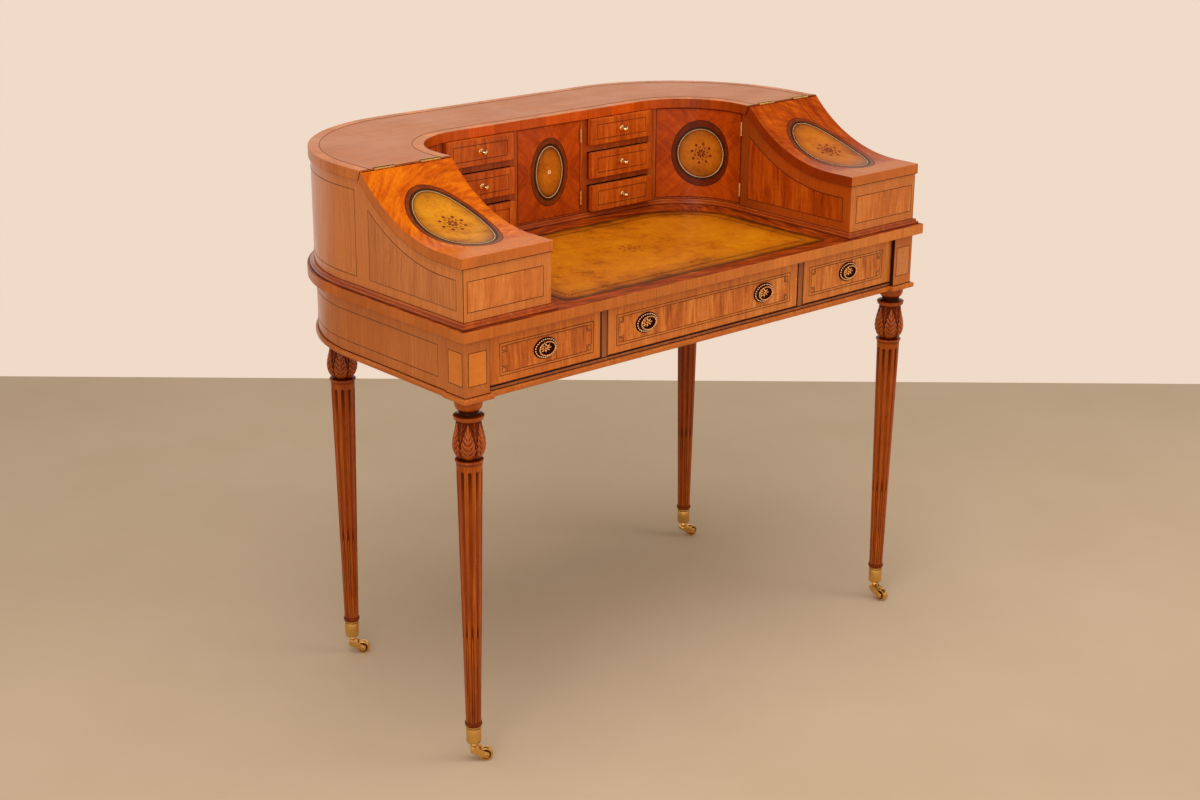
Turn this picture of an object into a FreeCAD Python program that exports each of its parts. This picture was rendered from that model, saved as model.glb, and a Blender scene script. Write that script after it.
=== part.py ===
import FreeCAD, Part
import math
import os
from FreeCAD import Matrix, Placement, Rotation, Vector

# A writing desk whose curved gallery of small drawers, cupboards and lidded
# wells stands on a drawer frieze, carried by four turned legs on castors.
# Millimetres. The origin is on the floor under the middle of the writing top,
# +X is the sitter's right, +Y is the back and +Z is up.

# Writing top
top_width = 1100.0
top_depth = 653.0
writing_height = 778.0
top_thickness = 19.4
top_corner_radius = 308.0
top_edge_round = 1.5

# Leather let into the writing top
leather_side_margin = 43.7
leather_back_margin = 48.5
leather_front_margin = 30.0
leather_back_radius = 130.0
leather_front_radius = 14.0
leather_thickness = 1.2

# Frieze under the writing top
frieze_height = 96.4
frieze_side_inset = 12.3
frieze_front_inset = 13.9
pilaster_size = 50.2
front_recess = 8.1
side_recess = 3.0
apron_thickness = 13.0
moulding_height = 9.7
moulding_projection = 5.0
moulding_width = 22.0
moulding_round = 2.5
rail_thickness = 7.0
rail_depth = 40.0
divider_width = 14.0
centre_opening_width = 462.0
runner_width = 44.0
side_runner_width = 22.0
guide_gap = 0.2
guide_height = 50.0
side_guide_thickness = 7.0
cross_rail_depth = 20.0
cross_rail_height = 22.0
cross_rail_room = 5.6
drawer_end_room = 6.0

# Drawers
front_gap = 0.8
run_gap = 0.3
frieze_front_thickness = 18.0
frieze_side_thickness = 9.0
frieze_bottom_thickness = 5.0
frieze_side_drop = 8.0
small_front_thickness = 10.0
small_side_thickness = 6.0
small_bottom_thickness = 4.0
small_drawer_room = 11.5
small_side_drop = 3.0
bottom_groove = 3.0
front_edge_round = 0.8
# how far each row of small drawers stands out of its bay at rest
drawer_ajar = {"top": 12.0, "middle": 14.5, "bottom": 16.0}

# Oval pulls of the frieze drawers
plate_width = 50.0
plate_height = 36.0
plate_thickness = 2.0
plate_rim_width = 2.6
plate_rim_height = 3.6
boss_radius = 7.0
boss_height = 5.0
pull_ring_width = 33.0
pull_ring_height = 23.0
pull_wire_radius = 1.5
pull_pin_length = 8.6
pull_drop = 2.0
eye_radius = 3.0
eye_width = 4.4
eye_stand_off = 4.4
pin_clearance = 0.05
centre_pull_spacing = 284.0

# Ball knobs of the small drawers
knob_rose_radius = 5.5
knob_rose_thickness = 1.6
knob_neck_radius = 2.2
knob_ball_radius = 6.2
knob_length = 17.0

# Legs
leg_collar_radius = 22.0
leg_waist_radius = 20.0
leg_upper_ring_radius = 25.0
leg_bulb_radius = 26.7
leg_lower_ring_radius = 24.0
column_top_radius = 21.5
column_foot_radius = 13.0
foot_ring_radius = 15.0
foot_ring_height = 7.0
collar_height = 28.5
upper_ring_height = 11.0
bulb_height = 62.0
bulb_neck_radius = 19.0
lower_ring_height = 10.5
back_block_size = 44.0
back_leg_angle = 42.0
block_gap = 0.3

# Castors
castor_height = 33.7
wheel_diameter = 24.0
wheel_width = 12.0
wheel_round = 1.2
castor_trail = 20.0
fork_cheek = 2.6
wheel_side_gap = 0.5
wheel_top_gap = 1.2
axle_radius = 2.0
fork_eye_radius = 5.5
fork_crown_radius = 6.0
fork_neck_radius = 5.0
stem_radius = 3.0
stem_length = 9.5
swivel_gap = 0.3
ferrule_radius = 13.0
ferrule_height = 29.4
ferrule_wall = 2.0
ferrule_floor = 10.0
ferrule_round = 1.2
tenon_gap = 0.1
axle_gap = 0.03
# heading of each castor's trail, in degrees from +X
castor_heading = {
    "front_left": -34.0,
    "front_right": -91.0,
    "back_left": -41.0,
    "back_right": -11.0,
}

# Gallery on the writing top
gallery_inset = 13.0
wing_width = 178.3
wing_set_back = 16.1
gallery_depth = 190.5
inner_corner_radius = 133.5
wall_thickness = 14.0
shelf_height = 207.5
shelf_thickness = 18.0
shelf_outer_overhang = 4.0
shelf_inner_overhang = 3.6
shelf_edge_round = 1.0
floor_thickness = 11.8
wall_fit_gap = 0.2
stave_count = 3
bead_step_height = 4.6
bead_height = 9.2
bead_projection = 8.0
bead_step = 3.2
bead_round = 1.8

# Lids of the wing wells
lid_thickness = 18.0
lid_front_rise = 114.3
lid_flat_length = 52.0
lid_hinge_lead = 20.1
lid_front_overhang = 2.9
lid_inner_overhang = 2.7
lid_outer_overhang = 4.1
lid_seat_gap = 0.3
lid_joint_gap = 0.8
lid_swing_gap = 1.0
# radians of lid curve drawn past the mitre, which cuts them off
lid_overrun = 0.1

# Doors and small drawer bays
centre_opening_half = 77.0
inner_partition = 16.0
bay_past_corner = 22.8
outer_partition = 20.0
door_gap = 0.7
door_side_gap = 1.4
door_bottom_gap = 0.7
door_top_gap = 1.2
corner_door_lead = 15.5
corner_door_gap = 1.6
corner_door_edge = 17.8
corner_jamb_gap = 0.8
small_rail = 12.95
well_partition_thickness = 12.0

# Butt hinges
knuckle_radius = 3.0
knuckle_proud = 2.0
knuckle_gap = 0.3
hinge_pin_radius = 1.4
pin_seat_gap = 0.02
leaf_thickness = 1.2
leaf_cover = 1.0
leaf_gap = 0.1
mortise_gap = 0.15
lid_hinge_length = 40.0
lid_hinge_inset = 42.0
door_hinge_length = 27.0
door_hinge_inset = 28.4

# Levels, planes and centres that follow from the sizes above
front_y = -top_depth / 2
top_under = writing_height - top_thickness
frieze_bottom = top_under - frieze_height
leg_top = frieze_bottom - moulding_height
shelf_top = writing_height + shelf_height
shelf_under = shelf_top - shelf_thickness
floor_top = writing_height + floor_thickness
corner_x = top_width / 2 - top_corner_radius
corner_y = top_depth / 2 - top_corner_radius
pilaster_x = top_width / 2 - frieze_side_inset - pilaster_size / 2
pilaster_y = front_y + frieze_front_inset + pilaster_size / 2
back_turn = (math.cos(math.radians(back_leg_angle)), math.sin(math.radians(back_leg_angle)))
drawer_face_y = front_y + frieze_front_inset + front_recess
opening_bottom = frieze_bottom + rail_thickness
apron_inset = frieze_side_inset + side_recess
rail_back_y = drawer_face_y + rail_depth
inner_half = top_width / 2 - gallery_inset - wing_width
inner_back = top_depth / 2 - gallery_inset - gallery_depth
inner_centre_x = inner_half - inner_corner_radius
inner_centre_y = inner_back - inner_corner_radius
jamb_y = inner_centre_y - corner_door_lead
gallery_back_inset = gallery_inset + wall_thickness
wing_front_y = front_y + wing_set_back
lid_front_y = wing_front_y - lid_front_overhang
lid_arc_y = lid_front_y + lid_flat_length
lid_hinge_y = jamb_y - lid_hinge_lead
lid_run = lid_hinge_y - lid_arc_y
lid_rise = shelf_height - lid_front_rise
lid_arc_radius = (lid_run**2 + lid_rise**2) / (2 * lid_rise)
lid_arc_z = writing_height + lid_front_rise + lid_arc_radius
lid_slope = math.atan2(lid_run, lid_arc_radius - lid_rise)
mitre_angle = lid_slope / 2
lid_sweep = lid_thickness / math.cos(mitre_angle) + lid_swing_gap
bay_inner = centre_opening_half + inner_partition
bay_outer = inner_centre_x + bay_past_corner
row_height = (shelf_under - floor_top - 2 * small_rail) / 3
small_front_height = row_height - 2 * front_gap
small_drawer_depth = gallery_depth - wall_thickness - small_drawer_room
row_base = {
    "bottom": floor_top,
    "middle": floor_top + row_height + small_rail,
    "top": floor_top + 2 * (row_height + small_rail),
}
door_base = floor_top + door_bottom_gap
door_top = shelf_under - door_top_gap
corner_hinge = Vector(inner_half - knuckle_proud, jamb_y + corner_door_gap / 2, 0)
centre_hinge = Vector(centre_opening_half - door_gap, inner_back - knuckle_proud, 0)
corner_edge_x = bay_outer + corner_door_edge
corner_edge_y = inner_centre_y + math.sqrt(
    inner_corner_radius**2 - (corner_edge_x - inner_centre_x) ** 2
)
corner_door_reach = math.hypot(corner_hinge.x - corner_edge_x, corner_edge_y - corner_hinge.y)
leaf_depth = wall_thickness - leaf_cover
partition_back = top_depth / 2 - gallery_back_inset
ferrule_top = castor_height + ferrule_height
tenon_base = castor_height + ferrule_floor + swivel_gap
axle_z = wheel_diameter / 2

x_axis = Vector(1, 0, 0)
y_axis = Vector(0, 1, 0)
z_axis = Vector(0, 0, 1)
sides = {"left": -1, "right": 1}


# Plain shapes
def box(x0, x1, y0, y1, z0, z1):
    return Part.makeBox(x1 - x0, y1 - y0, z1 - z0, Vector(x0, y0, z0))


def line(a, b):
    return Part.LineSegment(a, b).toShape()


def arc(a, b, c):
    return Part.Arc(a, b, c).toShape()


def flip(shape):
    return shape.mirror(Vector(0, 0, 0), x_axis)


def both_sides(shape):
    return [flip(shape), shape]


def rod(start, direction, radius, length):
    return Part.makeCylinder(radius, length, start, direction)


def round_edges(solid, radius, wanted):
    return solid.makeFillet(radius, [e for e in solid.Edges if wanted(e)])


def level(edge):
    box_of = edge.BoundBox
    return box_of.ZMin if box_of.ZLength < 1e-6 else None


# A plate with straight sides, a straight back and round back corners
def u_plate(half, y_front, y_back, radius, z0, z1):
    cx = half - radius
    cy = y_back - radius
    reach = radius * math.sqrt(0.5)
    left = arc(
        Vector(-half, cy, z0), Vector(-cx - reach, cy + reach, z0), Vector(-cx, y_back, z0)
    )
    right = arc(
        Vector(cx, y_back, z0), Vector(cx + reach, cy + reach, z0), Vector(half, cy, z0)
    )
    wire = Part.Wire(
        [
            line(Vector(-half, y_front, z0), Vector(-half, cy, z0)),
            left,
            line(Vector(-cx, y_back, z0), Vector(cx, y_back, z0)),
            right,
            line(Vector(half, cy, z0), Vector(half, y_front, z0)),
            line(Vector(half, y_front, z0), Vector(-half, y_front, z0)),
        ]
    )
    return Part.Face(wire).extrude(Vector(0, 0, z1 - z0))


# The desk's outer plan, drawn in by inset from the edge of the writing top
def outer_plate(inset, y_front, z0, z1):
    half = top_width / 2 - inset
    return u_plate(half, y_front, top_depth / 2 - inset, top_corner_radius - inset, z0, z1)


# The gallery's inner plan, moved towards the sitter by offset
def inner_plate(offset, y_front, z0, z1):
    half = inner_half - offset
    return u_plate(half, y_front, inner_back - offset, inner_corner_radius - offset, z0, z1)


# A bar along X whose section is a closed list of edges in the YZ plane
def bar_along_x(edges, x0, x1):
    bar = Part.Face(Part.Wire(edges)).extrude(Vector(x1 - x0, 0, 0))
    bar.translate(Vector(x0, 0, 0))
    return bar


def polygon_edges(points):
    return [line(a, b) for a, b in zip(points, points[1:] + points[:1])]


# Cut a bent wall into left, back and right pieces at the ends of its straight back
def three_pieces(wall):
    bounds = wall.BoundBox
    low = (bounds.YMin - 1, bounds.YMax + 1, bounds.ZMin - 1, bounds.ZMax + 1)
    spans = [(-top_width, -corner_x), (-corner_x, corner_x), (corner_x, top_width)]
    pieces = []
    for x0, x1 in spans:
        pieces += wall.common(box(x0, x1, *low)).Solids
    return pieces


# Mitre between lid and shelf: s runs down the joint, n points at the shelf
def mitre_point(s, n):
    y = lid_hinge_y + s * math.sin(mitre_angle) + n * math.cos(mitre_angle)
    z = shelf_top - s * math.cos(mitre_angle) + n * math.sin(mitre_angle)
    return Vector(0, y, z)


def mitre_block(n0, n1):
    reach = 3 * lid_thickness
    corners = [(-reach, n0), (reach, n0), (reach, n1), (-reach, n1)]
    points = [mitre_point(s, n) for s, n in corners]
    return bar_along_x(polygon_edges(points), -top_width, top_width)


# The lid's hollow curve at a depth below its top face
def lid_curve(depth, end_angle):
    radius = lid_arc_radius + depth

    def at(angle):
        y = lid_arc_y + radius * math.sin(angle)
        return Vector(0, y, lid_arc_z - radius * math.cos(angle))

    return arc(at(0), at(end_angle / 2), at(end_angle)), at(0), at(end_angle)


# Everything above the seat that the lids rest on
def above_lid_seat():
    depth = lid_thickness + lid_seat_gap
    radius = lid_arc_radius + depth
    end_angle = math.acos((lid_arc_z - shelf_under) / radius)
    curve, low, high = lid_curve(depth, end_angle)
    roof = shelf_top + lid_thickness
    ahead = front_y - top_thickness
    corners = [
        high,
        Vector(0, high.y, roof),
        Vector(0, ahead, roof),
        Vector(0, ahead, low.z),
        low,
    ]
    edges = [line(a, b) for a, b in zip(corners, corners[1:])]
    return bar_along_x(edges + [curve], -top_width, top_width)


# Room for the lid's lower back edge as it swings about its hinge
def lid_swing_room():
    start = Vector(-top_width, lid_hinge_y, shelf_top)
    return rod(start, x_axis, lid_sweep, 2 * top_width)


# Butt hinges, closed: pin along local Z, leaves along local +X, fixed leaf on +Y
def butt_hinge(length):
    third = length / 3
    half = length / 2

    def leaf(side):
        y0 = leaf_gap if side > 0 else -leaf_gap - leaf_thickness
        return box(0, leaf_depth, y0, y0 + leaf_thickness, -half, half)

    def knuckle(z0, z1):
        return rod(Vector(0, 0, z0), z_axis, knuckle_radius, z1 - z0)

    def room(z0, z1):
        return rod(Vector(0, 0, z0), z_axis, knuckle_radius + knuckle_gap, z1 - z0)

    def bore(gap):
        return rod(Vector(0, 0, -half), z_axis, hinge_pin_radius + gap, length)

    low, high = -half + third, half - third
    fixed = leaf(1).cut(room(low, high)).fuse([knuckle(-half, low), knuckle(high, half)])
    fixed = fixed.cut(bore(pin_seat_gap))
    outer_room = room(-half, low + knuckle_gap).fuse(room(high - knuckle_gap, half))
    middle = knuckle(low + knuckle_gap, high - knuckle_gap)
    moving = leaf(-1).cut(outer_room).fuse(middle).cut(bore(pin_clearance))
    pin = bore(0)
    return fixed, moving, pin


# Hollow cut into both members for one closed hinge
def hinge_mortise(length):
    half = length / 2 + mortise_gap
    reach = leaf_gap + leaf_thickness + mortise_gap
    plates = box(0, leaf_depth + mortise_gap, -reach, reach, -half, half)
    barrel = rod(Vector(0, 0, -half), z_axis, knuckle_radius + knuckle_gap, 2 * half)
    return plates.fuse(barrel)


def placed(shape, origin, along_leaf, to_fixed):
    pin_way = along_leaf.cross(to_fixed)
    frame = Matrix(
        along_leaf.x, to_fixed.x, pin_way.x, origin.x,
        along_leaf.y, to_fixed.y, pin_way.y, origin.y,
        along_leaf.z, to_fixed.z, pin_way.z, origin.z,
        0, 0, 0, 1,
    )
    moved = shape.copy()
    moved.Placement = Placement(frame)
    return moved


# Where every hinge of one door or lid sits, as (length, origin, leaf way, way to fixed)
def lid_hinge_seats():
    inner = inner_half + lid_hinge_inset
    outer = top_width / 2 - gallery_inset - lid_hinge_inset
    down = mitre_point(1, 0) - mitre_point(0, 0)
    back = mitre_point(0, 1) - mitre_point(0, 0)
    seats = []
    for x in (inner, outer):
        seats.append((lid_hinge_length, Vector(x, lid_hinge_y, shelf_top), down, back))
    return seats


def door_hinge_seats(axis_point, along_leaf, to_fixed):
    seats = []
    for z in (door_base + door_hinge_inset, door_top - door_hinge_inset):
        origin = Vector(axis_point.x, axis_point.y, z)
        seats.append((door_hinge_length, origin, along_leaf, to_fixed))
    return seats


lid_seats = lid_hinge_seats()
corner_seats = door_hinge_seats(corner_hinge, x_axis, y_axis * -1)
centre_seats = door_hinge_seats(centre_hinge, y_axis, x_axis)


def cut_mortises(solid, seats):
    for length, origin, along_leaf, to_fixed in seats:
        solid = solid.cut(placed(hinge_mortise(length), origin, along_leaf, to_fixed))
    return solid


# One kind of hinge piece at each of the seats: 0 fixed leaf, 1 moving leaf, 2 pin
def hinge_pieces(seats, kind):
    pieces = []
    for length, origin, along_leaf, to_fixed in seats:
        piece = butt_hinge(length)[kind]
        pieces.append(placed(piece, origin, along_leaf, to_fixed))
    return pieces


def fixed_hinge_pieces(kind):
    paired = hinge_pieces(lid_seats + corner_seats, kind)
    return paired + [flip(p) for p in paired] + hinge_pieces(centre_seats, kind)


# Writing top and its leather
def leather_plate(z0, z1):
    half = inner_half - leather_side_margin
    y_front = front_y + leather_front_margin
    y_back = inner_back - leather_back_margin
    plate = u_plate(half, y_front, y_back, leather_back_radius, z0, z1)

    def front_corner(edge):
        upright = edge.BoundBox.ZLength > 0.5 * (z1 - z0)
        return upright and abs(edge.CenterOfMass.y - y_front) < 1e-6

    return round_edges(plate, leather_front_radius, front_corner)


def writing_top():
    slab = outer_plate(0, front_y, top_under, writing_height)
    slab = round_edges(slab, top_edge_round, lambda e: level(e) is not None)
    return slab.cut(leather_plate(writing_height - leather_thickness, writing_height + 1))


def leather_panel():
    return leather_plate(writing_height - leather_thickness, writing_height)


# Frieze
def front_frame():
    inner_x = pilaster_x - pilaster_size / 2
    rail = box(-inner_x, inner_x, drawer_face_y, rail_back_y, frieze_bottom, opening_bottom)
    x0 = centre_opening_width / 2
    divider = box(
        x0, x0 + divider_width, drawer_face_y, rail_back_y, opening_bottom, top_under
    )
    return [rail] + both_sides(divider)


def frieze_apron():
    y_front = pilaster_y + pilaster_size / 2
    wall = outer_plate(apron_inset, y_front, frieze_bottom, top_under)
    hollow = outer_plate(apron_inset + apron_thickness, y_front, frieze_bottom, top_under)
    return three_pieces(wall.cut(hollow))


def pilaster_block(grow, z0, z1):
    half = pilaster_size / 2 + grow
    return box(
        pilaster_x - half, pilaster_x + half, pilaster_y - half, pilaster_y + half, z0, z1
    )


def back_leg_axis():
    half = back_block_size / 2
    wall_radius = top_corner_radius - apron_inset - apron_thickness - block_gap
    reach = math.sqrt(wall_radius**2 - half**2) - half
    return Vector(corner_x + reach * back_turn[0], corner_y + reach * back_turn[1], 0)


def back_block(z0, z1):
    half = back_block_size / 2
    block = box(-half, half, -half, half, z0, z1)
    block.Placement = Placement(back_leg_axis(), Rotation(z_axis, back_leg_angle))
    return block


# The cross rail runs just in front of the back leg blocks, and the drawers stop at it
block_front_y = back_leg_axis().y - back_block_size / 2 * sum(back_turn)
cross_rail_y = block_front_y - cross_rail_room - cross_rail_depth
frieze_drawer_depth = cross_rail_y - drawer_end_room - drawer_face_y


def base_moulding():
    inset = apron_inset - moulding_projection
    y_front = drawer_face_y - moulding_projection
    ring = outer_plate(inset, y_front, leg_top, frieze_bottom)
    ring = ring.fuse(both_sides(pilaster_block(moulding_projection, leg_top, frieze_bottom)))
    hollow = outer_plate(
        inset + moulding_width, y_front + moulding_width, leg_top, frieze_bottom
    )
    ring = ring.removeSplitter()
    ring = round_edges(ring, moulding_round, lambda e: level(e) is not None).cut(hollow)
    blocks = both_sides(pilaster_block(0, leg_top, frieze_bottom))
    blocks += both_sides(back_block(leg_top, frieze_bottom))
    return three_pieces(ring.cut(Part.makeCompound(blocks)))


def drawer_runners():
    centre = (centre_opening_width + divider_width) / 2
    wall_x = pilaster_x - pilaster_size / 2
    guide_half = divider_width / 2 - guide_gap
    y_end = cross_rail_y
    board = box(
        centre - runner_width / 2, centre + runner_width / 2,
        rail_back_y, y_end, frieze_bottom, opening_bottom,
    )
    guide_top = opening_bottom + guide_height
    guide = box(
        centre - guide_half, centre + guide_half,
        rail_back_y, y_end, opening_bottom, guide_top,
    )
    pilaster_back = pilaster_y + pilaster_size / 2
    side_board = box(
        wall_x - side_runner_width, wall_x, rail_back_y, y_end, frieze_bottom, opening_bottom
    )
    side_guide = box(
        wall_x, wall_x + side_guide_thickness,
        pilaster_back, y_end, frieze_bottom, guide_top,
    )
    half = wall_x - guide_gap
    cross_rail = box(
        -half, half, y_end, y_end + cross_rail_depth,
        frieze_bottom, frieze_bottom + cross_rail_height,
    )
    inside = outer_plate(
        apron_inset + apron_thickness + guide_gap, front_y, frieze_bottom, top_under
    )
    runners = [cross_rail.common(inside)]
    for piece in (board, guide, side_board, side_guide):
        runners += both_sides(piece)
    return runners


# Drawers: front, two sides, back and bottom as separate boards
def drawer_boards(x0, x1, y0, depth, z0, z1, sizes):
    front, side, bottom, drop = sizes
    y1 = y0 + front
    y2 = y0 + depth
    base = z0 - front_gap + run_gap
    rim = z1 - drop
    face = box(x0, x1, y0, y1, z0, z1)

    def face_edge(edge):
        return edge.BoundBox.YMax < y0 + 1e-6

    floor_z = base + bottom_groove
    return [
        round_edges(face, front_edge_round, face_edge),
        box(x0, x0 + side, y1, y2, base, rim),
        box(x1 - side, x1, y1, y2, base, rim),
        box(x0 + side, x1 - side, y2 - side, y2, base, rim),
        box(x0 + side, x1 - side, y1, y2 - side, floor_z, floor_z + bottom),
    ]


frieze_sizes = (
    frieze_front_thickness, frieze_side_thickness, frieze_bottom_thickness, frieze_side_drop
)
small_sizes = (
    small_front_thickness, small_side_thickness, small_bottom_thickness, small_side_drop
)
side_opening = (
    centre_opening_width / 2 + divider_width, pilaster_x - pilaster_size / 2
)
frieze_openings = {
    "left": (-side_opening[1], -side_opening[0]),
    "centre": (-centre_opening_width / 2, centre_opening_width / 2),
    "right": side_opening,
}


def frieze_drawer(place):
    x0, x1 = frieze_openings[place]
    return drawer_boards(
        x0 + front_gap, x1 - front_gap, drawer_face_y, frieze_drawer_depth,
        opening_bottom + front_gap, top_under - front_gap, frieze_sizes,
    )


def small_drawer(side, row):
    x0, x1 = bay_inner + front_gap, bay_outer - front_gap
    if side == "left":
        x0, x1 = -x1, -x0
    z0 = row_base[row] + front_gap
    return drawer_boards(
        x0, x1, inner_back - drawer_ajar[row], small_drawer_depth,
        z0, z0 + small_front_height, small_sizes,
    )


# Oval pulls: beaded plate with boss and eye, and the ring that hangs in the eye
pull_z = (opening_bottom + top_under) / 2 - pull_drop
pull_pivot_y = drawer_face_y - plate_thickness - eye_stand_off
pull_pivot_z = pull_z + pull_ring_height / 2
pull_places = {
    "left": -(side_opening[0] + side_opening[1]) / 2,
    "centre_left": -centre_pull_spacing / 2,
    "centre_right": centre_pull_spacing / 2,
    "right": (side_opening[0] + side_opening[1]) / 2,
}


def oval(half_width, half_height, x, depth):
    face_normal = y_axis * -1
    start = Vector(x, drawer_face_y, pull_z)
    curve = Part.Ellipse(Vector(0, 0, 0), half_width, half_height)
    disc = Part.Face(Part.Wire(curve.toShape())).extrude(Vector(0, 0, depth))
    disc.Placement = Placement(start, Rotation(x_axis, z_axis, face_normal, "XYZ"))
    return disc


def pull_plate(x):
    half_width, half_height = plate_width / 2, plate_height / 2
    plate = oval(half_width, half_height, x, plate_rim_height)
    sunk = oval(
        half_width - plate_rim_width, half_height - plate_rim_width, x, plate_rim_height
    )
    sunk.translate(Vector(0, -plate_thickness, 0))
    back = y_axis * -1
    boss = rod(Vector(x, drawer_face_y, pull_z), back, boss_radius, boss_height)
    eye_start = Vector(x - eye_width / 2, pull_pivot_y, pull_pivot_z)
    eye = rod(eye_start, x_axis, eye_radius, eye_width)
    post = box(
        x - eye_width / 2, x + eye_width / 2, pull_pivot_y, drawer_face_y,
        pull_pivot_z - eye_radius / 2, pull_pivot_z + eye_radius / 2,
    )
    bore = rod(eye_start, x_axis, pull_wire_radius + pin_clearance, eye_width)
    return plate.cut(sunk).fuse([boss, eye, post]).cut(bore)


def pull_ring(x):
    centre = Vector(x, pull_pivot_y, pull_z)
    turn = Rotation(x_axis, z_axis, y_axis * -1, "XYZ")
    path = Part.Ellipse(Vector(0, 0, 0), pull_ring_width / 2, pull_ring_height / 2)
    start = Vector(0, -pull_ring_height / 2, 0)
    section = Part.Wire(Part.Circle(start, x_axis, pull_wire_radius).toShape())
    pin_end = math.acos(pull_pin_length / pull_ring_width)
    bow = Part.ArcOfEllipse(path, -math.pi / 2, pin_end).toShape()
    half = Part.Wire(bow).makePipeShell([section], True, False)
    ring = half.fuse(half.mirror(Vector(0, 0, 0), x_axis)).removeSplitter()
    ring.Placement = Placement(centre, turn)
    pin_start = Vector(x - pull_pin_length / 2, pull_pivot_y, pull_pivot_z)
    pin = rod(pin_start, x_axis, pull_wire_radius, pull_pin_length)
    return ring.fuse(pin)


# Ball knob on a rose
def knob(side, row):
    ball_y = knob_length - knob_ball_radius
    low = math.sqrt(knob_ball_radius**2 - knob_neck_radius**2)
    points = [
        Vector(0, 0, 0),
        Vector(knob_rose_radius, 0, 0),
        Vector(knob_rose_radius, 0, knob_rose_thickness),
        Vector(knob_neck_radius, 0, 2 * knob_rose_thickness),
        Vector(knob_neck_radius, 0, ball_y - low),
    ]
    edges = [line(a, b) for a, b in zip(points, points[1:])]
    edges.append(
        arc(points[-1], Vector(knob_ball_radius, 0, ball_y), Vector(0, 0, knob_length))
    )
    edges.append(line(Vector(0, 0, knob_length), points[0]))
    turned = Part.Face(Part.Wire(edges)).revolve(Vector(0, 0, 0), z_axis, 360)
    x = sides[side] * (bay_inner + bay_outer) / 2
    z = row_base[row] + row_height / 2
    turned.Placement = Placement(
        Vector(x, inner_back - drawer_ajar[row], z), Rotation(x_axis, 90)
    )
    return turned


# Legs
def leg_profile():
    upper_ring_top = leg_top - collar_height
    bulb_top = upper_ring_top - upper_ring_height
    bulb_base = bulb_top - bulb_height
    column_top = bulb_base - lower_ring_height
    ring_base = ferrule_top
    ring_top = ring_base + foot_ring_height
    tenon = ferrule_radius - ferrule_wall - tenon_gap

    def at(radius, z):
        return Vector(radius, 0, z)

    def bulge(radius, neck, z_top, z_low):
        return arc(at(neck, z_top), at(radius, (z_top + z_low) / 2), at(neck, z_low))

    upper_neck = leg_upper_ring_radius - upper_ring_height / 2
    lower_neck = leg_lower_ring_radius - lower_ring_height / 2
    foot_neck = foot_ring_radius - foot_ring_height / 2
    middle = (leg_top + upper_ring_top) / 2
    return [
        line(at(0, tenon_base), at(0, leg_top)),
        line(at(0, leg_top), at(leg_collar_radius, leg_top)),
        arc(
            at(leg_collar_radius, leg_top),
            at(leg_waist_radius, middle),
            at(leg_collar_radius, upper_ring_top),
        ),
        line(at(leg_collar_radius, upper_ring_top), at(upper_neck, upper_ring_top)),
        bulge(leg_upper_ring_radius, upper_neck, upper_ring_top, bulb_top),
        line(at(upper_neck, bulb_top), at(bulb_neck_radius, bulb_top)),
        bulge(leg_bulb_radius, bulb_neck_radius, bulb_top, bulb_base),
        line(at(bulb_neck_radius, bulb_base), at(lower_neck, bulb_base)),
        bulge(leg_lower_ring_radius, lower_neck, bulb_base, column_top),
        line(at(lower_neck, column_top), at(column_top_radius, column_top)),
        line(at(column_top_radius, column_top), at(column_foot_radius, ring_top)),
        line(at(column_foot_radius, ring_top), at(foot_neck, ring_top)),
        bulge(foot_ring_radius, foot_neck, ring_top, ring_base),
        line(at(foot_neck, ring_base), at(tenon, ring_base)),
        line(at(tenon, ring_base), at(tenon, tenon_base)),
        line(at(tenon, tenon_base), at(0, tenon_base)),
    ]


def turned_leg(axis):
    leg = Part.Face(Part.Wire(leg_profile())).revolve(Vector(0, 0, 0), z_axis, 360)
    leg.translate(axis)
    return leg


front_leg_axis = Vector(pilaster_x, pilaster_y, 0)


def leg(place):
    if place.startswith("front"):
        whole = turned_leg(front_leg_axis).fuse(pilaster_block(0, leg_top, top_under))
    else:
        whole = turned_leg(back_leg_axis()).fuse(back_block(leg_top, top_under))
    return flip(whole) if place.endswith("left") else whole


def castor_axis(place):
    axis = front_leg_axis if place.startswith("front") else back_leg_axis()
    return Vector(-axis.x, axis.y, 0) if place.endswith("left") else axis


# Castors
def ferrule(place):
    cup = rod(Vector(0, 0, castor_height), z_axis, ferrule_radius, ferrule_height)
    cup = round_edges(cup, ferrule_round, lambda e: level(e) is not None)
    socket_base = castor_height + ferrule_floor
    socket = rod(
        Vector(0, 0, socket_base), z_axis, ferrule_radius - ferrule_wall, ferrule_height
    )
    bore = rod(Vector(0, 0, 0), z_axis, stem_radius + pin_clearance, socket_base + 1)
    cup = cup.cut(socket).cut(bore)
    cup.translate(castor_axis(place))
    return cup


# Side view of the fork: two rounds joined by their outer tangents
def fork_outline():
    crown_z = castor_height - swivel_gap - 2 * fork_crown_radius
    crown = Vector(0, 0, crown_z)
    eye = Vector(castor_trail, 0, axle_z)
    run = eye - crown
    lean = math.atan2(run.z, run.x)
    spread = math.acos((fork_crown_radius - fork_eye_radius) / run.Length)

    def on(centre, radius, angle):
        return centre + Vector(radius * math.cos(angle), 0, radius * math.sin(angle))

    upper, lower = lean + spread, lean - spread
    crown_top = on(crown, fork_crown_radius, upper)
    crown_low = on(crown, fork_crown_radius, lower)
    eye_top = on(eye, fork_eye_radius, upper)
    eye_low = on(eye, fork_eye_radius, lower)
    crown_back = on(crown, fork_crown_radius, lean + math.pi)
    eye_front = on(eye, fork_eye_radius, lean)
    return [
        line(crown_top, eye_top),
        arc(eye_top, eye_front, eye_low),
        line(eye_low, crown_low),
        arc(crown_low, crown_back, crown_top),
    ], crown_z


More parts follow.
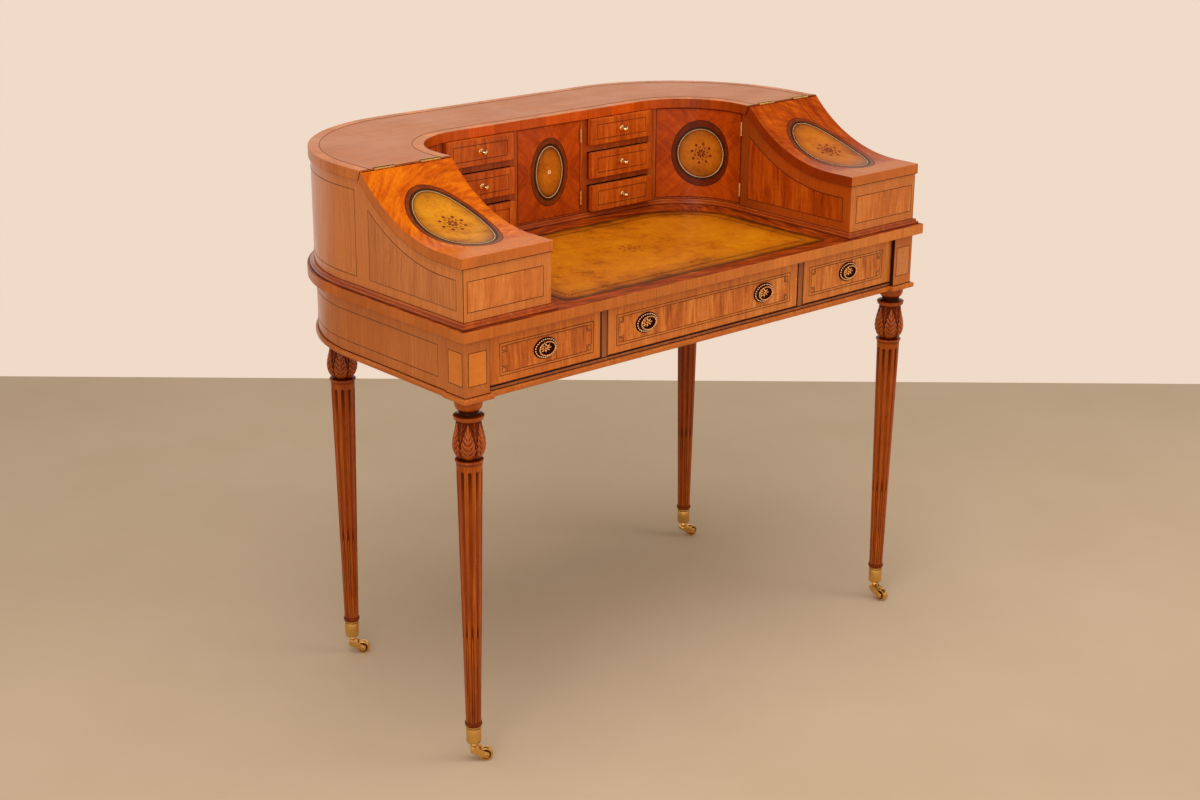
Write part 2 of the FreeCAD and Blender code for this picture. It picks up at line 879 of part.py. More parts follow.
def turn_castor(shape, place):
    shape.Placement = Placement(castor_axis(place), Rotation(z_axis, castor_heading[place]))
    return shape


def castor_fork(place):
    slot_half = wheel_width / 2 + wheel_side_gap
    half = slot_half + fork_cheek
    outline, crown_z = fork_outline()
    horn = Part.Face(Part.Wire(outline)).extrude(Vector(0, 2 * half, 0))
    horn.translate(Vector(0, -half, 0))
    slot = rod(
        Vector(castor_trail, -slot_half, axle_z), y_axis,
        wheel_diameter / 2 + wheel_top_gap, 2 * slot_half,
    )
    neck_top = castor_height - swivel_gap
    neck = rod(Vector(0, 0, crown_z), z_axis, fork_neck_radius, neck_top - crown_z)
    stem = rod(Vector(0, 0, crown_z), z_axis, stem_radius, neck_top + stem_length - crown_z)
    start = Vector(castor_trail, -half, axle_z)
    bore = rod(start, y_axis, axle_radius + axle_gap, 2 * half)
    horn = horn.cut(slot).fuse([neck, stem]).cut(bore)
    axle = rod(start, y_axis, axle_radius, 2 * half)
    return [turn_castor(horn, place), turn_castor(axle, place)]


def castor_wheel(place):
    start = Vector(castor_trail, -wheel_width / 2, axle_z)
    tread = rod(start, y_axis, wheel_diameter / 2, wheel_width)
    rims = [e for e in tread.Edges if e.BoundBox.YLength < 1e-6]
    tread = tread.makeFillet(wheel_round, rims)
    bore = rod(start, y_axis, axle_radius + pin_clearance, wheel_width)
    return turn_castor(tread.cut(bore), place)


# Gallery walls
def wing_panels():
    outer_x = top_width / 2 - gallery_inset
    seat_z = writing_height + lid_front_rise - lid_thickness - lid_seat_gap
    front = box(
        inner_half, outer_x, wing_front_y, wing_front_y + wall_thickness,
        writing_height, seat_z,
    )
    inner = box(
        inner_half, inner_half + wall_thickness, wing_front_y + wall_thickness, jamb_y,
        writing_height, shelf_under,
    )
    inner = inner.cut(above_lid_seat()).cut(lid_swing_room())
    return both_sides(front) + both_sides(cut_mortises(inner, corner_seats))


# The right end of the outer wall: a straight side, then a bend built up of staves
def wall_end(wall):
    side = box(corner_x, top_width, front_y, corner_y, writing_height, shelf_top)
    pieces = [wall.common(side)]
    centre = Vector(corner_x, corner_y, writing_height)
    step = math.pi / 2 / stave_count
    for i in range(stave_count):
        corners = [centre]
        for angle in (i * step, (i + 1) * step):
            way = Vector(math.cos(angle), math.sin(angle), 0)
            corners.append(centre + way * 2 * top_corner_radius)
        wedge = Part.Face(Part.Wire(polygon_edges(corners)))
        pieces.append(wall.common(wedge.extrude(Vector(0, 0, shelf_height))))
    return pieces


def outer_wall():
    y_front = wing_front_y + wall_thickness
    wall = outer_plate(gallery_inset, y_front, writing_height, shelf_under)
    hollow = outer_plate(gallery_back_inset, y_front, writing_height, shelf_under)
    wall = wall.cut(hollow).cut(above_lid_seat()).cut(lid_swing_room())
    back, right = three_pieces(wall)[1:]
    return [back], wall_end(right)


# Bead round the foot of the gallery, outside, across the wing fronts and inside
def gallery_bead():
    inset = gallery_inset - wall_fit_gap
    wall_foot = outer_plate(inset, wing_front_y, writing_height, shelf_top)
    wall_foot = wall_foot.cut(inner_plate(0, front_y, writing_height, shelf_top))

    def tier(projection, z0, z1):
        strip = outer_plate(gallery_inset - projection, wing_front_y - projection, z0, z1)
        strip = strip.cut(inner_plate(projection, front_y, z0, z1))
        top = round_edges(strip, bead_round, lambda e: abs((level(e) or 0) - z1) < 1e-6)
        return top.cut(wall_foot)

    step_z = writing_height + bead_step_height
    low = tier(bead_projection, writing_height, step_z)
    high = tier(bead_projection - bead_step, step_z, writing_height + bead_height)
    return low.fuse(high)


def upper_shelf():
    y_front = lid_hinge_y - lid_thickness
    board = outer_plate(
        gallery_inset - shelf_outer_overhang, y_front, shelf_under, shelf_top
    )
    board = board.cut(inner_plate(shelf_inner_overhang, y_front, shelf_under, shelf_top))

    def long_edge(edge):
        return level(edge) is not None and edge.BoundBox.YMax > lid_hinge_y

    board = round_edges(board, shelf_edge_round, long_edge)
    board = board.cut(mitre_block(-top_depth, lid_joint_gap / 2))
    for turned in (lambda s: s, flip):
        board = turned(cut_mortises(turned(board), lid_seats))
    return board


# The space inside the gallery's outer wall
def gallery_room():
    inset = gallery_back_inset + wall_fit_gap
    return outer_plate(inset, front_y, writing_height, shelf_under)


def gallery_partitions():
    inner = box(
        centre_opening_half, bay_inner, inner_back, partition_back, floor_top, shelf_under
    )
    right = cut_mortises(inner, centre_seats)
    jamb = box(
        bay_outer, bay_outer + outer_partition, inner_back - wall_thickness, partition_back,
        floor_top, shelf_under,
    )
    swing = rod(
        Vector(corner_hinge.x, corner_hinge.y, writing_height), z_axis,
        corner_door_reach + corner_jamb_gap, shelf_height,
    )
    jamb = jamb.cut(swing).cut(inner_plate(0, front_y, writing_height, shelf_top))
    jamb = jamb.common(gallery_room())
    well_end = box(
        inner_half + wall_thickness, top_width / 2 - gallery_back_inset,
        jamb_y - well_partition_thickness, jamb_y, writing_height, shelf_under,
    )
    well_end = well_end.cut(above_lid_seat()).cut(lid_swing_room())
    return [right, flip(inner)] + both_sides(jamb) + both_sides(well_end)


def drawer_shelves():
    shelves = []
    for row in ("middle", "top"):
        shelf = box(
            bay_inner, bay_outer, inner_back, partition_back,
            row_base[row] - small_rail, row_base[row],
        )
        shelves += both_sides(shelf.common(gallery_room()))
    return shelves


def gallery_floor():
    inset = gallery_back_inset + wall_fit_gap
    board = outer_plate(inset, jamb_y, writing_height, floor_top)
    return board.cut(inner_plate(0, front_y, writing_height, floor_top))


# Lids and doors
def lid():
    end_angle = lid_slope + lid_overrun
    top_curve, top_low, top_high = lid_curve(0, end_angle)
    under_curve, under_low, under_high = lid_curve(lid_thickness, end_angle)
    nose_top = Vector(0, lid_front_y, top_low.z)
    nose_low = Vector(0, lid_front_y, under_low.z)
    edges = [
        line(nose_top, top_low),
        top_curve,
        line(top_high, under_high),
        under_curve,
        line(under_low, nose_low),
        line(nose_low, nose_top),
    ]
    x0 = inner_half - lid_inner_overhang
    x1 = top_width / 2 - gallery_inset + lid_outer_overhang
    board = bar_along_x(edges, x0, x1)

    def nose_edge(edge):
        return edge.BoundBox.YMax < lid_front_y + 1e-6

    board = round_edges(board, shelf_edge_round, nose_edge)
    board = board.cut(mitre_block(-lid_joint_gap / 2, top_depth))
    return cut_mortises(board, lid_seats)


def corner_door():
    shell = inner_plate(-wall_thickness, jamb_y, door_base, door_top)
    shell = shell.cut(inner_plate(0, front_y, door_base, door_top))
    half = box(
        inner_centre_x, inner_half + wall_thickness, jamb_y + corner_door_gap,
        inner_back + wall_thickness, door_base, door_top,
    )
    swing = rod(
        Vector(corner_hinge.x, corner_hinge.y, door_base), z_axis,
        corner_door_reach, door_top - door_base,
    )
    return cut_mortises(shell.common(half).common(swing), corner_seats)


def centre_door():
    half = centre_opening_half - door_side_gap
    door = box(-half, half, inner_back, inner_back + wall_thickness, door_base, door_top)
    return cut_mortises(door, centre_seats)


# Every node of the desk and its solids
def desk_nodes():
    back_wall, outer_wall_right = outer_wall()
    nodes = {
        "writing_top": [writing_top()],
        "leather_panel": [leather_panel()],
        "front_frame": front_frame(),
        "frieze_apron": frieze_apron(),
        "base_moulding": base_moulding(),
        "leg_ferrules": [ferrule(place) for place in castor_heading],
        "drawer_runners": drawer_runners(),
        "wing_panels": wing_panels(),
        "back_wall": back_wall,
        "gallery_bead": [gallery_bead()],
        "gallery_floor": [gallery_floor()],
        "gallery_partitions": gallery_partitions() + drawer_shelves(),
        "upper_shelf": [upper_shelf()],
        "fixed_hinges": fixed_hinge_pieces(0) + fixed_hinge_pieces(2),
        "centre_door": [centre_door()],
        "centre_door_hinges": hinge_pieces(centre_seats, 1),
    }
    for place in castor_heading:
        nodes["leg_" + place] = [leg(place)]
        nodes["castor_fork_" + place] = castor_fork(place)
        nodes["castor_wheel_" + place] = [castor_wheel(place)]
    right_pieces = {
        "outer_wall": outer_wall_right,
        "lid": [lid()],
        "lid_hinges": hinge_pieces(lid_seats, 1),
        "corner_door": [corner_door()],
        "corner_door_hinges": hinge_pieces(corner_seats, 1),
    }
    for name, solids in right_pieces.items():
        nodes[name + "_right"] = solids
        nodes[name + "_left"] = [flip(s) for s in solids]
    for place in frieze_openings:
        nodes["frieze_drawer_" + place] = frieze_drawer(place)
        spots = [x for key, x in pull_places.items() if key.startswith(place)]
        nodes["pull_plates_" + place] = [pull_plate(x) for x in spots]
    for place, x in pull_places.items():
        nodes["pull_ring_" + place] = [pull_ring(x)]
    for side in sides:
        for row in row_base:
            nodes[f"small_drawer_{side}_{row}"] = small_drawer(side, row)
            nodes[f"knob_{side}_{row}"] = [knob(side, row)]
    return nodes


os.makedirs("parts", exist_ok=True)
for name, solids in desk_nodes().items():
    shape = solids[0] if len(solids) == 1 else Part.makeCompound(solids)
    shape.exportStep(f"parts/{name}.step")
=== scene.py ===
import math

import bmesh
import bpy
from mathutils import Matrix, Vector


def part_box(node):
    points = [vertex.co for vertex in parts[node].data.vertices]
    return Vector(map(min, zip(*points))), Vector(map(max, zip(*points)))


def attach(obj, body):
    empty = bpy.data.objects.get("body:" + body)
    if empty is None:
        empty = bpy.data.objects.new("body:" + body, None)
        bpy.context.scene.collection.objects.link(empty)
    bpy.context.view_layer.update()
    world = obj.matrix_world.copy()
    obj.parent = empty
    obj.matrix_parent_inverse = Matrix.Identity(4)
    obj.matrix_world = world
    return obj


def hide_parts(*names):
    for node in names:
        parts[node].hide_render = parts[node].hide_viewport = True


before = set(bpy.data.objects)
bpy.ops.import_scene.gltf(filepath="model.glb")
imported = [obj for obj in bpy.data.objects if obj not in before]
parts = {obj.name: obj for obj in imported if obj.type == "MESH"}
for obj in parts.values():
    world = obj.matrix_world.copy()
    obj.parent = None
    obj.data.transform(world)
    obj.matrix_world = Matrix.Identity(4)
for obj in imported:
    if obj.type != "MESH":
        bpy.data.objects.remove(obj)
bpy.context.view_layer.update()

mm = 0.001
places = ("front_left", "front_right", "back_left", "back_right")
sides = (("left", -1), ("right", 1))
sideGap = 3.7  # keeps the grain of the two sides apart
print("frame loaded with", len(parts), "nodes")

# Plans with two round back corners: half width, back and corner radius in millimetres
planSet = {
    "top": (550.0, 326.5, 308.0), "shelf": (541.0, 317.5, 299.0), "shelfInner": (355.1, 119.4, 129.9),
    "wall": (537.0, 313.5, 295.0), "gallery": (358.7, 123.0, 133.5), "apron": (534.7, 311.2, 292.7),
    "moulding": (540.0, 316.0, 298.0), "leather": (315.0, 74.5, 130.0),
}


def scaled(values):
    return tuple(value * mm for value in values)


# An output of a node; sums and comparisons of outputs make further nodes
class nodeOut:
    def __init__(self, tree, socket):
        self.tree = tree
        self.socket = socket

    def __add__(self, other):
        return maths("ADD", self, other)

    def __sub__(self, other):
        return maths("SUBTRACT", self, other)

    def __rsub__(self, other):
        return maths("SUBTRACT", other, self)

    def __mul__(self, other):
        return maths("MULTIPLY", self, other)

    def __truediv__(self, other):
        return maths("DIVIDE", self, other)

    def __abs__(self):
        return maths("ABSOLUTE", self)

    def __gt__(self, other):
        return maths("GREATER_THAN", self, other)

    def __lt__(self, other):
        return maths("LESS_THAN", self, other)


def feed(made, sockets):
    # an output is linked to its socket, a plain value is set on it
    for key, value in sockets.items():
        if isinstance(value, nodeOut):
            value.tree.links.new(value.socket, made.inputs[key])
        else:
            made.inputs[key].default_value = value
    return made


def put(tree, kind, sockets=None, **settings):
    made = tree.nodes.new(kind)
    for key, value in settings.items():
        setattr(made, key, value)
    return feed(made, sockets or {})


def take(tree, kind, sockets=None, out=0, **settings):
    return nodeOut(tree, put(tree, kind, sockets, **settings).outputs[out])


def outs(tree, made):
    return {socket.name: nodeOut(tree, socket) for socket in made.outputs}


def treeOf(*terms):
    return next(term.tree for term in terms if isinstance(term, nodeOut))


def maths(operation, *terms):
    return take(treeOf(*terms), "ShaderNodeMath", dict(enumerate(terms)), operation=operation)


def larger(a, b):
    return maths("MAXIMUM", a, b)


def smaller(a, b):
    return maths("MINIMUM", a, b)


def reachOf(dx, dy):
    return maths("SQRT", dx * dx + dy * dy)


def span(value, low, high, toLow=0.0, toHigh=1.0, smooth=False):
    sockets = {"Value": value, "From Min": low, "From Max": high, "To Min": toLow, "To Max": toHigh}
    kind = "SMOOTHSTEP" if smooth else "LINEAR"
    return take(value.tree, "ShaderNodeMapRange", sockets, interpolation_type=kind)


def choose(test, a, b):
    return take(treeOf(test, a, b), "ShaderNodeMix", {0: test, 2: a, 3: b}, data_type="FLOAT")


def chooseWay(test, a, b):
    return take(test.tree, "ShaderNodeMix", {0: test, 4: a, 5: b}, 1, data_type="VECTOR")


def blend(factor, a, b, mode="MIX"):
    sockets = {0: factor, 6: a, 7: b}
    return take(treeOf(factor, a, b), "ShaderNodeMix", sockets, 2, data_type="RGBA", blend_type=mode)


def washed(colour, red, green, blue):
    return blend(1.0, colour, (red, green, blue, 1.0), "MULTIPLY")


def dimmed(colour, dim):
    return blend(1.0, colour, combine(dim, dim, dim), "MULTIPLY")


def split(vector):
    made = put(vector.tree, "ShaderNodeSeparateXYZ", {0: vector})
    return [nodeOut(vector.tree, socket) for socket in made.outputs]


def combine(x, y, z):
    return take(treeOf(x, y, z), "ShaderNodeCombineXYZ", {0: x, 1: y, 2: z})


def noise(vector, scale=1.0, detail=2.0, rough=0.5, distortion=0.0):
    sockets = {"Vector": vector, "Scale": scale, "Detail": detail, "Roughness": rough}
    return take(vector.tree, "ShaderNodeTexNoise", {**sockets, "Distortion": distortion})


def ramp(factor, *stops):
    made = put(factor.tree, "ShaderNodeValToRGB", {0: factor})
    bar = made.color_ramp.elements
    while len(bar) < len(stops):
        bar.new(0.5)
    for step, (spot, colour) in zip(bar, stops):
        step.position = spot
        step.color = colour
    return nodeOut(factor.tree, made.outputs[0])


def bumped(height, strength, distance):
    return take(height.tree, "ShaderNodeBump", {"Height": height, "Strength": strength, "Distance": distance})


def tint(red, green, blue):
    # a screen colour of 0 to 255 as the linear one that shaders take
    def linear(value):
        value /= 255
        return value / 12.92 if value <= 0.04045 else ((value + 0.055) / 1.055) ** 2.4
    return (linear(red), linear(green), linear(blue), 1.0)


def newTree(name, kind, inputs, outputs):
    tree = bpy.data.node_groups.new(name, kind)
    for label, socket, value in inputs:
        made = tree.interface.new_socket(label, in_out="INPUT", socket_type="NodeSocket" + socket)
        if value is not None:
            made.default_value = value
    for label, socket in outputs:
        tree.interface.new_socket(label, in_out="OUTPUT", socket_type="NodeSocket" + socket)
    return tree, outs(tree, tree.nodes.new("NodeGroupInput")), tree.nodes.new("NodeGroupOutput")


def give(tree, ends, **results):
    feed(ends, results)
    return tree


def group(nodeTree, **sockets):
    tree = treeOf(*sockets.values())
    return outs(tree, put(tree, "ShaderNodeGroup", sockets, node_tree=nodeTree))


# Wood grain that runs along the vector's Z: ribbons, fibres, pores and cross mottle
def makeRibbonGrain():
    tree, given, ends = newTree(
        "ribbonGrain", "ShaderNodeTree",
        [("Vector", "Vector", None), ("Ribbon", "Float", 110.0), ("Run", "Float", 5.0)],
        [("Figure", "Float"), ("Fibre", "Float"), ("Pores", "Float"), ("Mottle", "Float")])
    x, y, z = split(given["Vector"])
    drift = (noise(given["Vector"], 7.0, 1.0) - 0.5) * 0.02

    def stretched(across, along):
        wide = given["Ribbon"] * across
        return combine((x + drift) * wide, (y + drift) * wide, z * (given["Run"] * along))

    ribbons = noise(stretched(1.0, 1.0), 1.0, 4.0, 0.62, 0.8)
    broad = noise(stretched(0.2, 0.6), 1.0, 1.0)
    fibre = noise(stretched(8.0, 7.0), 1.0, 2.0, 0.6)
    pores = span(noise(stretched(11.0, 16.0), 1.0, 1.0), 0.63, 0.74)
    mottle = noise(stretched(0.35, 14.0), 1.0, 2.0, 0.6, 0.6)
    figure = span(ribbons * 0.75 + broad * 0.25, 0.28, 0.72)
    return give(tree, ends, Figure=figure, Fibre=fibre, Pores=pores, Mottle=mottle)


# Distance in from the edge of a plan, and the way along that edge
def makeDeskPlan():
    tree, given, ends = newTree(
        "deskPlan", "ShaderNodeTree",
        [("Vector", "Vector", None), ("Half", "Float", 0.55), ("Back", "Float", 0.3265),
         ("Radius", "Float", 0.308)],
        [("Inset", "Float"), ("Along", "Float")])
    x, y = split(given["Vector"])[:2]
    dx = abs(x) - (given["Half"] - given["Radius"])
    dy = y - (given["Back"] - given["Radius"])
    outX = larger(dx, 0.0)
    outY = larger(dy, 0.0)
    inset = given["Radius"] - (reachOf(outX, outY) + smaller(larger(dx, dy), 0.0))
    turn = maths("ARCTAN2", outY, outX) * given["Radius"]
    along = smaller(dy, 0.0) + turn - smaller(dx, 0.0)
    return give(tree, ends, Inset=inset, Along=along + maths("SIGN", x) * sideGap)


# Leaves of crossbanding laid side by side, each a little lighter or darker
def makeVeneerLeaves():
    tree, given, ends = newTree(
        "veneerLeaves", "ShaderNodeTree", [("Along", "Float", 0.0), ("Leaf", "Float", 0.05)],
        [("Tone", "Float"), ("Joint", "Float")])
    count = given["Along"] / given["Leaf"]
    tone = take(tree, "ShaderNodeTexWhiteNoise", {"W": maths("FLOOR", count)}, noise_dimensions="1D")
    edge = abs(maths("FRACT", count) - 0.5)
    return give(tree, ends, Tone=tone, Joint=span(edge, 0.485, 0.497))


# Uneven polish: faint smears in the gloss and a slow change of tone
def makeHandled():
    tree, given, ends = newTree(
        "handled", "ShaderNodeTree", [("Vector", "Vector", None), ("Scale", "Float", 9.0)],
        [("Smear", "Float"), ("Age", "Float")])
    smear = noise(given["Vector"], given["Scale"], 4.0, 0.65, 0.4)
    age = noise(given["Vector"], given["Scale"] * 0.35)
    return give(tree, ends, Smear=span(smear, 0.35, 0.7), Age=span(age, 0.3, 0.7))


# Brass gone dark in its hollows, with fine rubbing marks
def makeTarnish():
    tree, given, ends = newTree(
        "tarnish", "ShaderNodeTree",
        [("Vector", "Vector", None), ("Hollow", "Float", 0.0), ("Amount", "Float", 0.4)],
        [("Mask", "Float"), ("Rub", "Float")])
    cloud = noise(given["Vector"], 260.0, 4.0, 0.65)
    mask = cloud - 0.62 + given["Hollow"] * 1.3 + given["Amount"]
    return give(tree, ends, Mask=span(mask, 0.0, 0.6), Rub=noise(given["Vector"], 1500.0))


ribbonGrain = makeRibbonGrain()
deskPlan = makeDeskPlan()
veneerLeaves = makeVeneerLeaves()
handled = makeHandled()
tarnish = makeTarnish()
print("shader groups made")


def blank(name):
    material = bpy.data.materials.new(name)
    material.use_nodes = True
    tree = material.node_tree
    tree.nodes.clear()
    shader = put(tree, "ShaderNodeBsdfPrincipled")
    tree.links.new(shader.outputs[0], put(tree, "ShaderNodeOutputMaterial").inputs["Surface"])
    return material, shader, outs(tree, put(tree, "ShaderNodeTexCoord"))


def stored(at, name):
    return take(at.tree, "ShaderNodeAttribute", None, "Fac", attribute_name=name)


woodSet = {
    "quiet": {"deep": tint(166, 84, 30), "mid": tint(202, 114, 46), "pale": tint(222, 141, 68),
              "ribbon": 240.0, "run": 6.0, "lively": 0.55, "fibre": 0.5, "pores": 0.3, "mottle": 0.15},
    "satin": {"deep": tint(166, 80, 24), "mid": tint(204, 111, 40), "pale": tint(228, 143, 66),
              "ribbon": 130.0, "run": 8.0, "lively": 0.75, "fibre": 0.5, "pores": 0.3, "mottle": 0.2},
    "field": {"deep": tint(150, 64, 14), "mid": tint(204, 108, 36), "pale": tint(234, 150, 68),
              "ribbon": 95.0, "run": 9.0, "lively": 1.25, "fibre": 0.5, "pores": 0.3, "mottle": 0.3},
    "front": {"deep": tint(160, 76, 24), "mid": tint(202, 110, 42), "pale": tint(226, 142, 68),
              "ribbon": 95.0, "run": 9.0, "lively": 0.85, "fibre": 0.5, "pores": 0.3, "mottle": 0.25},
    "bright": {"deep": tint(190, 92, 20), "mid": tint(216, 118, 32), "pale": tint(230, 140, 50),
               "ribbon": 60.0, "run": 6.0, "lively": 0.6, "fibre": 0.4, "pores": 0.2, "mottle": 0.5},
    "flame": {"deep": tint(148, 50, 0), "mid": tint(196, 86, 1), "pale": tint(228, 122, 4),
              "ribbon": 110.0, "run": 24.0, "lively": 1.1, "fibre": 0.4, "pores": 0.5, "mottle": 0.3},
    "slab": {"deep": tint(180, 92, 32), "mid": tint(204, 111, 42), "pale": tint(220, 132, 60),
             "ribbon": 190.0, "run": 8.0, "lively": 0.6, "fibre": 0.5, "pores": 0.3, "mottle": 0.2},
    # painted shade: a deeper, redder copy of the wood for the inside faces of the wings
    "inside": {"deep": tint(132, 42, 3), "mid": tint(178, 70, 6), "pale": tint(208, 104, 18),
               "ribbon": 95.0, "run": 9.0, "lively": 1.1, "fibre": 0.5, "pores": 0.35, "mottle": 0.3},
    "small": {"deep": tint(142, 50, 5), "mid": tint(192, 82, 12), "pale": tint(220, 116, 32),
              "ribbon": 95.0, "run": 9.0, "lively": 1.0, "fibre": 0.5, "pores": 0.35, "mottle": 0.3},
    "pinstripe": {"deep": tint(152, 76, 28), "mid": tint(194, 110, 48), "pale": tint(216, 136, 70),
                  "ribbon": 330.0, "run": 5.0, "lively": 0.85, "fibre": 0.6, "pores": 0.35, "mottle": 0.1},
    "rail": {"deep": tint(112, 50, 16), "mid": tint(150, 78, 32), "pale": tint(178, 104, 52),
             "ribbon": 140.0, "run": 6.0, "lively": 0.8, "fibre": 0.5, "pores": 0.3, "mottle": 0.2},
    "door": {"deep": tint(120, 34, 2), "mid": tint(178, 66, 5), "pale": tint(214, 98, 12),
             "ribbon": 80.0, "run": 14.0, "lively": 0.66, "fibre": 0.3, "pores": 0.2, "mottle": 0.45},
    "red": {"deep": tint(122, 42, 5), "mid": tint(166, 68, 10), "pale": tint(204, 104, 30),
            "ribbon": 120.0, "run": 5.0, "lively": 0.8, "fibre": 0.5, "pores": 0.3, "mottle": 0.2},
    "leg": {"deep": tint(112, 38, 1), "mid": tint(164, 71, 3), "pale": tint(200, 103, 10),
            "ribbon": 130.0, "run": 5.0, "lively": 0.8, "fibre": 0.45, "pores": 0.3, "mottle": 0.2},
}


# One wood finish: the grain's way is a function of the spot, an overlay may tint it further
def woodFinish(name, kind, way=None, overlay=None, coat=0.35, gloss=(0.28, 0.42), shine=0.3, film=0.14,
               hollows=False):
    s = woodSet[kind]
    material, shader, spot = blank(name)
    at, normal = spot["Object"], spot["Normal"]
    along = way(at, normal) if way else at
    grain = group(ribbonGrain, Vector=along, Ribbon=s["ribbon"], Run=s["run"])
    touch = group(handled, Vector=at, Scale=9.0)
    tone = (grain["Figure"] - 0.5) * s["lively"] + (grain["Fibre"] - 0.5) * s["fibre"]
    tone = tone + (grain["Mottle"] - 0.5) * s["mottle"] + (touch["Age"] - 0.5) * 0.22 + 0.5
    colour = ramp(tone, (0.0, s["deep"]), (0.5, s["mid"]), (1.0, s["pale"]))
    poreDark = tuple(0.35 * value for value in s["deep"][:3]) + (1.0,)
    colour = blend(grain["Pores"] * s["pores"], colour, poreDark)
    if overlay:
        colour = overlay(at, normal, colour)
    feed(shader, {
        "Base Color": colour, "Roughness": span(touch["Smear"], 0.0, 1.0, *gloss),
        "Normal": bumped(grain["Fibre"] * 0.5 - grain["Pores"], 0.2, 0.00015),
        "Coat Weight": span(stored(at, "hollow"), 0.1, 0.6, coat, 0.0) if hollows else coat,
        "Coat Roughness": film, "Specular IOR Level": shine})
    return material


def planAt(at, name):
    half, back, radius = scaled(planSet[name])
    return group(deskPlan, Vector=at, Half=half, Back=back, Radius=radius)


def isTop(normal):
    return split(normal)[2] > 0.5


def isFlat(normal, axis=2):
    # true where a face looks along the axis, either way
    return abs(split(normal)[axis]) > 0.5


def onRight(at, colour, wash):
    # the right one of a pair has gone another tone
    return blend(split(at)[0] > 0.0, colour, washed(colour, *wash))


def paintedLightAcross(at, colour, low, high, left, right):
    # painted light: a wash that changes from the left to the right
    wash = blend(span(split(at)[0], low, high), left + (1.0,), right + (1.0,))
    return blend(1.0, colour, wash, "MULTIPLY")


def leafTint(along, colour, width, strength):
    leaves = group(veneerLeaves, Along=along, Leaf=width)
    colour = dimmed(colour, span(leaves["Tone"], 0.0, 1.0, 1.0 - strength, 1.0 + 0.5 * strength))
    return blend(leaves["Joint"] * 0.35, colour, tint(90, 34, 10))


# Writing top: crossbanded border and edge
topSet = {"stripFront": -293.0, "leaf": 0.07, "left": (0.84, 0.78, 0.68), "right": (1.05, 1.22, 1.6)}


def topRun(at):
    # the way along the border, straight on the front strip, and the distance across it
    plan = planAt(at, "top")
    x, y = split(at)[:2]
    front = y < topSet["stripFront"] * mm
    return choose(front, plan["Along"], x), choose(front, plan["Inset"], y)


def topWay(at, normal):
    along, inset = topRun(at)
    return combine(along, 0.0, choose(isTop(normal), split(at)[2], inset))


def topOverlay(at, normal, colour):
    along, inset = topRun(at)
    colour = leafTint(along, colour, topSet["leaf"], 0.1)
    # painted light: the edges of the top run from darker on the left to paler on the right
    edge = paintedLightAcross(at, colour, -0.5, 0.45, topSet["left"], topSet["right"])
    streak = noise(combine(along * 12.0, along * 16.0 + inset * 75.0, 0.0), 1.0, 3.0, 0.65, 0.3)
    deeper = washed(colour, 0.62, 0.33, 0.1)
    deeper = blend(span(streak, 0.42, 0.62, 0.0, 0.85), deeper, tint(86, 22, 3))
    deeper = blend(span(streak, 0.44, 0.3, 0.0, 0.6), deeper, tint(206, 98, 22))
    return blend(isTop(normal), edge, deeper)


slabVeneer = woodFinish("slabVeneer", "slab", topWay, topOverlay, coat=0.2, shine=0.1)

# Gallery shelf: long grained field between two crossbands
shelfSet = {"band": 20.0, "leaf": 0.06, "z": 985.5, "front": -44.0}


def shelfBands(at, normal):
    outer, inner = planAt(at, "shelf"), planAt(at, "shelfInner")
    width = shelfSet["band"] * mm
    nearIn = inner["Inset"] > -width
    edge = 1.0 - isTop(normal)
    band = larger(larger(nearIn, outer["Inset"] < width), edge)
    return outer, inner, nearIn, edge, band


def shelfWay(at, normal):
    outer, inner, nearIn, edge, band = shelfBands(at, normal)
    x, y, z = split(at)
    across = choose(nearIn, outer["Along"], inner["Along"])
    return chooseWay(band, combine(y, 0.3, x), combine(across, 0.0, choose(edge, outer["Inset"], z)))


def shelfOverlay(at, normal, colour):
    outer, inner, nearIn, edge, band = shelfBands(at, normal)
    banded = leafTint(outer["Along"], colour, shelfSet["leaf"], 0.2)
    # painted shade: the shelf's inner edge is redder and darker, darkest towards both ends
    dim = span(abs(split(at)[0]), 0.22, 0.34, 1.0, 0.62, True)
    deeper = dimmed(washed(banded, 1.0, 0.5, 0.05), dim)
    field = blend(0.5, colour, tint(150, 74, 22))
    return blend(band, field, blend(nearIn * edge, banded, deeper))


shelfVeneer = woodFinish("shelfVeneer", "satin", shelfWay, shelfOverlay, coat=0.24, shine=0.18)

# Lids: a flame that bends round the inner front corner, upright grain on the edges, plain wood below
lidFlame = {"corner": (0.352, -0.285), "turn": 0.19, "right": (0.84, 0.72, 0.6)}


def lidWay(at, normal):
    x, y = split(at)[:2]
    dx = abs(x) - lidFlame["corner"][0]
    dy = y - lidFlame["corner"][1]
    turn = maths("ARCTAN2", dy, dx) * lidFlame["turn"] + maths("SIGN", x)
    return chooseWay(isFlat(normal), at, combine(reachOf(dx, dy), 0.0, turn))


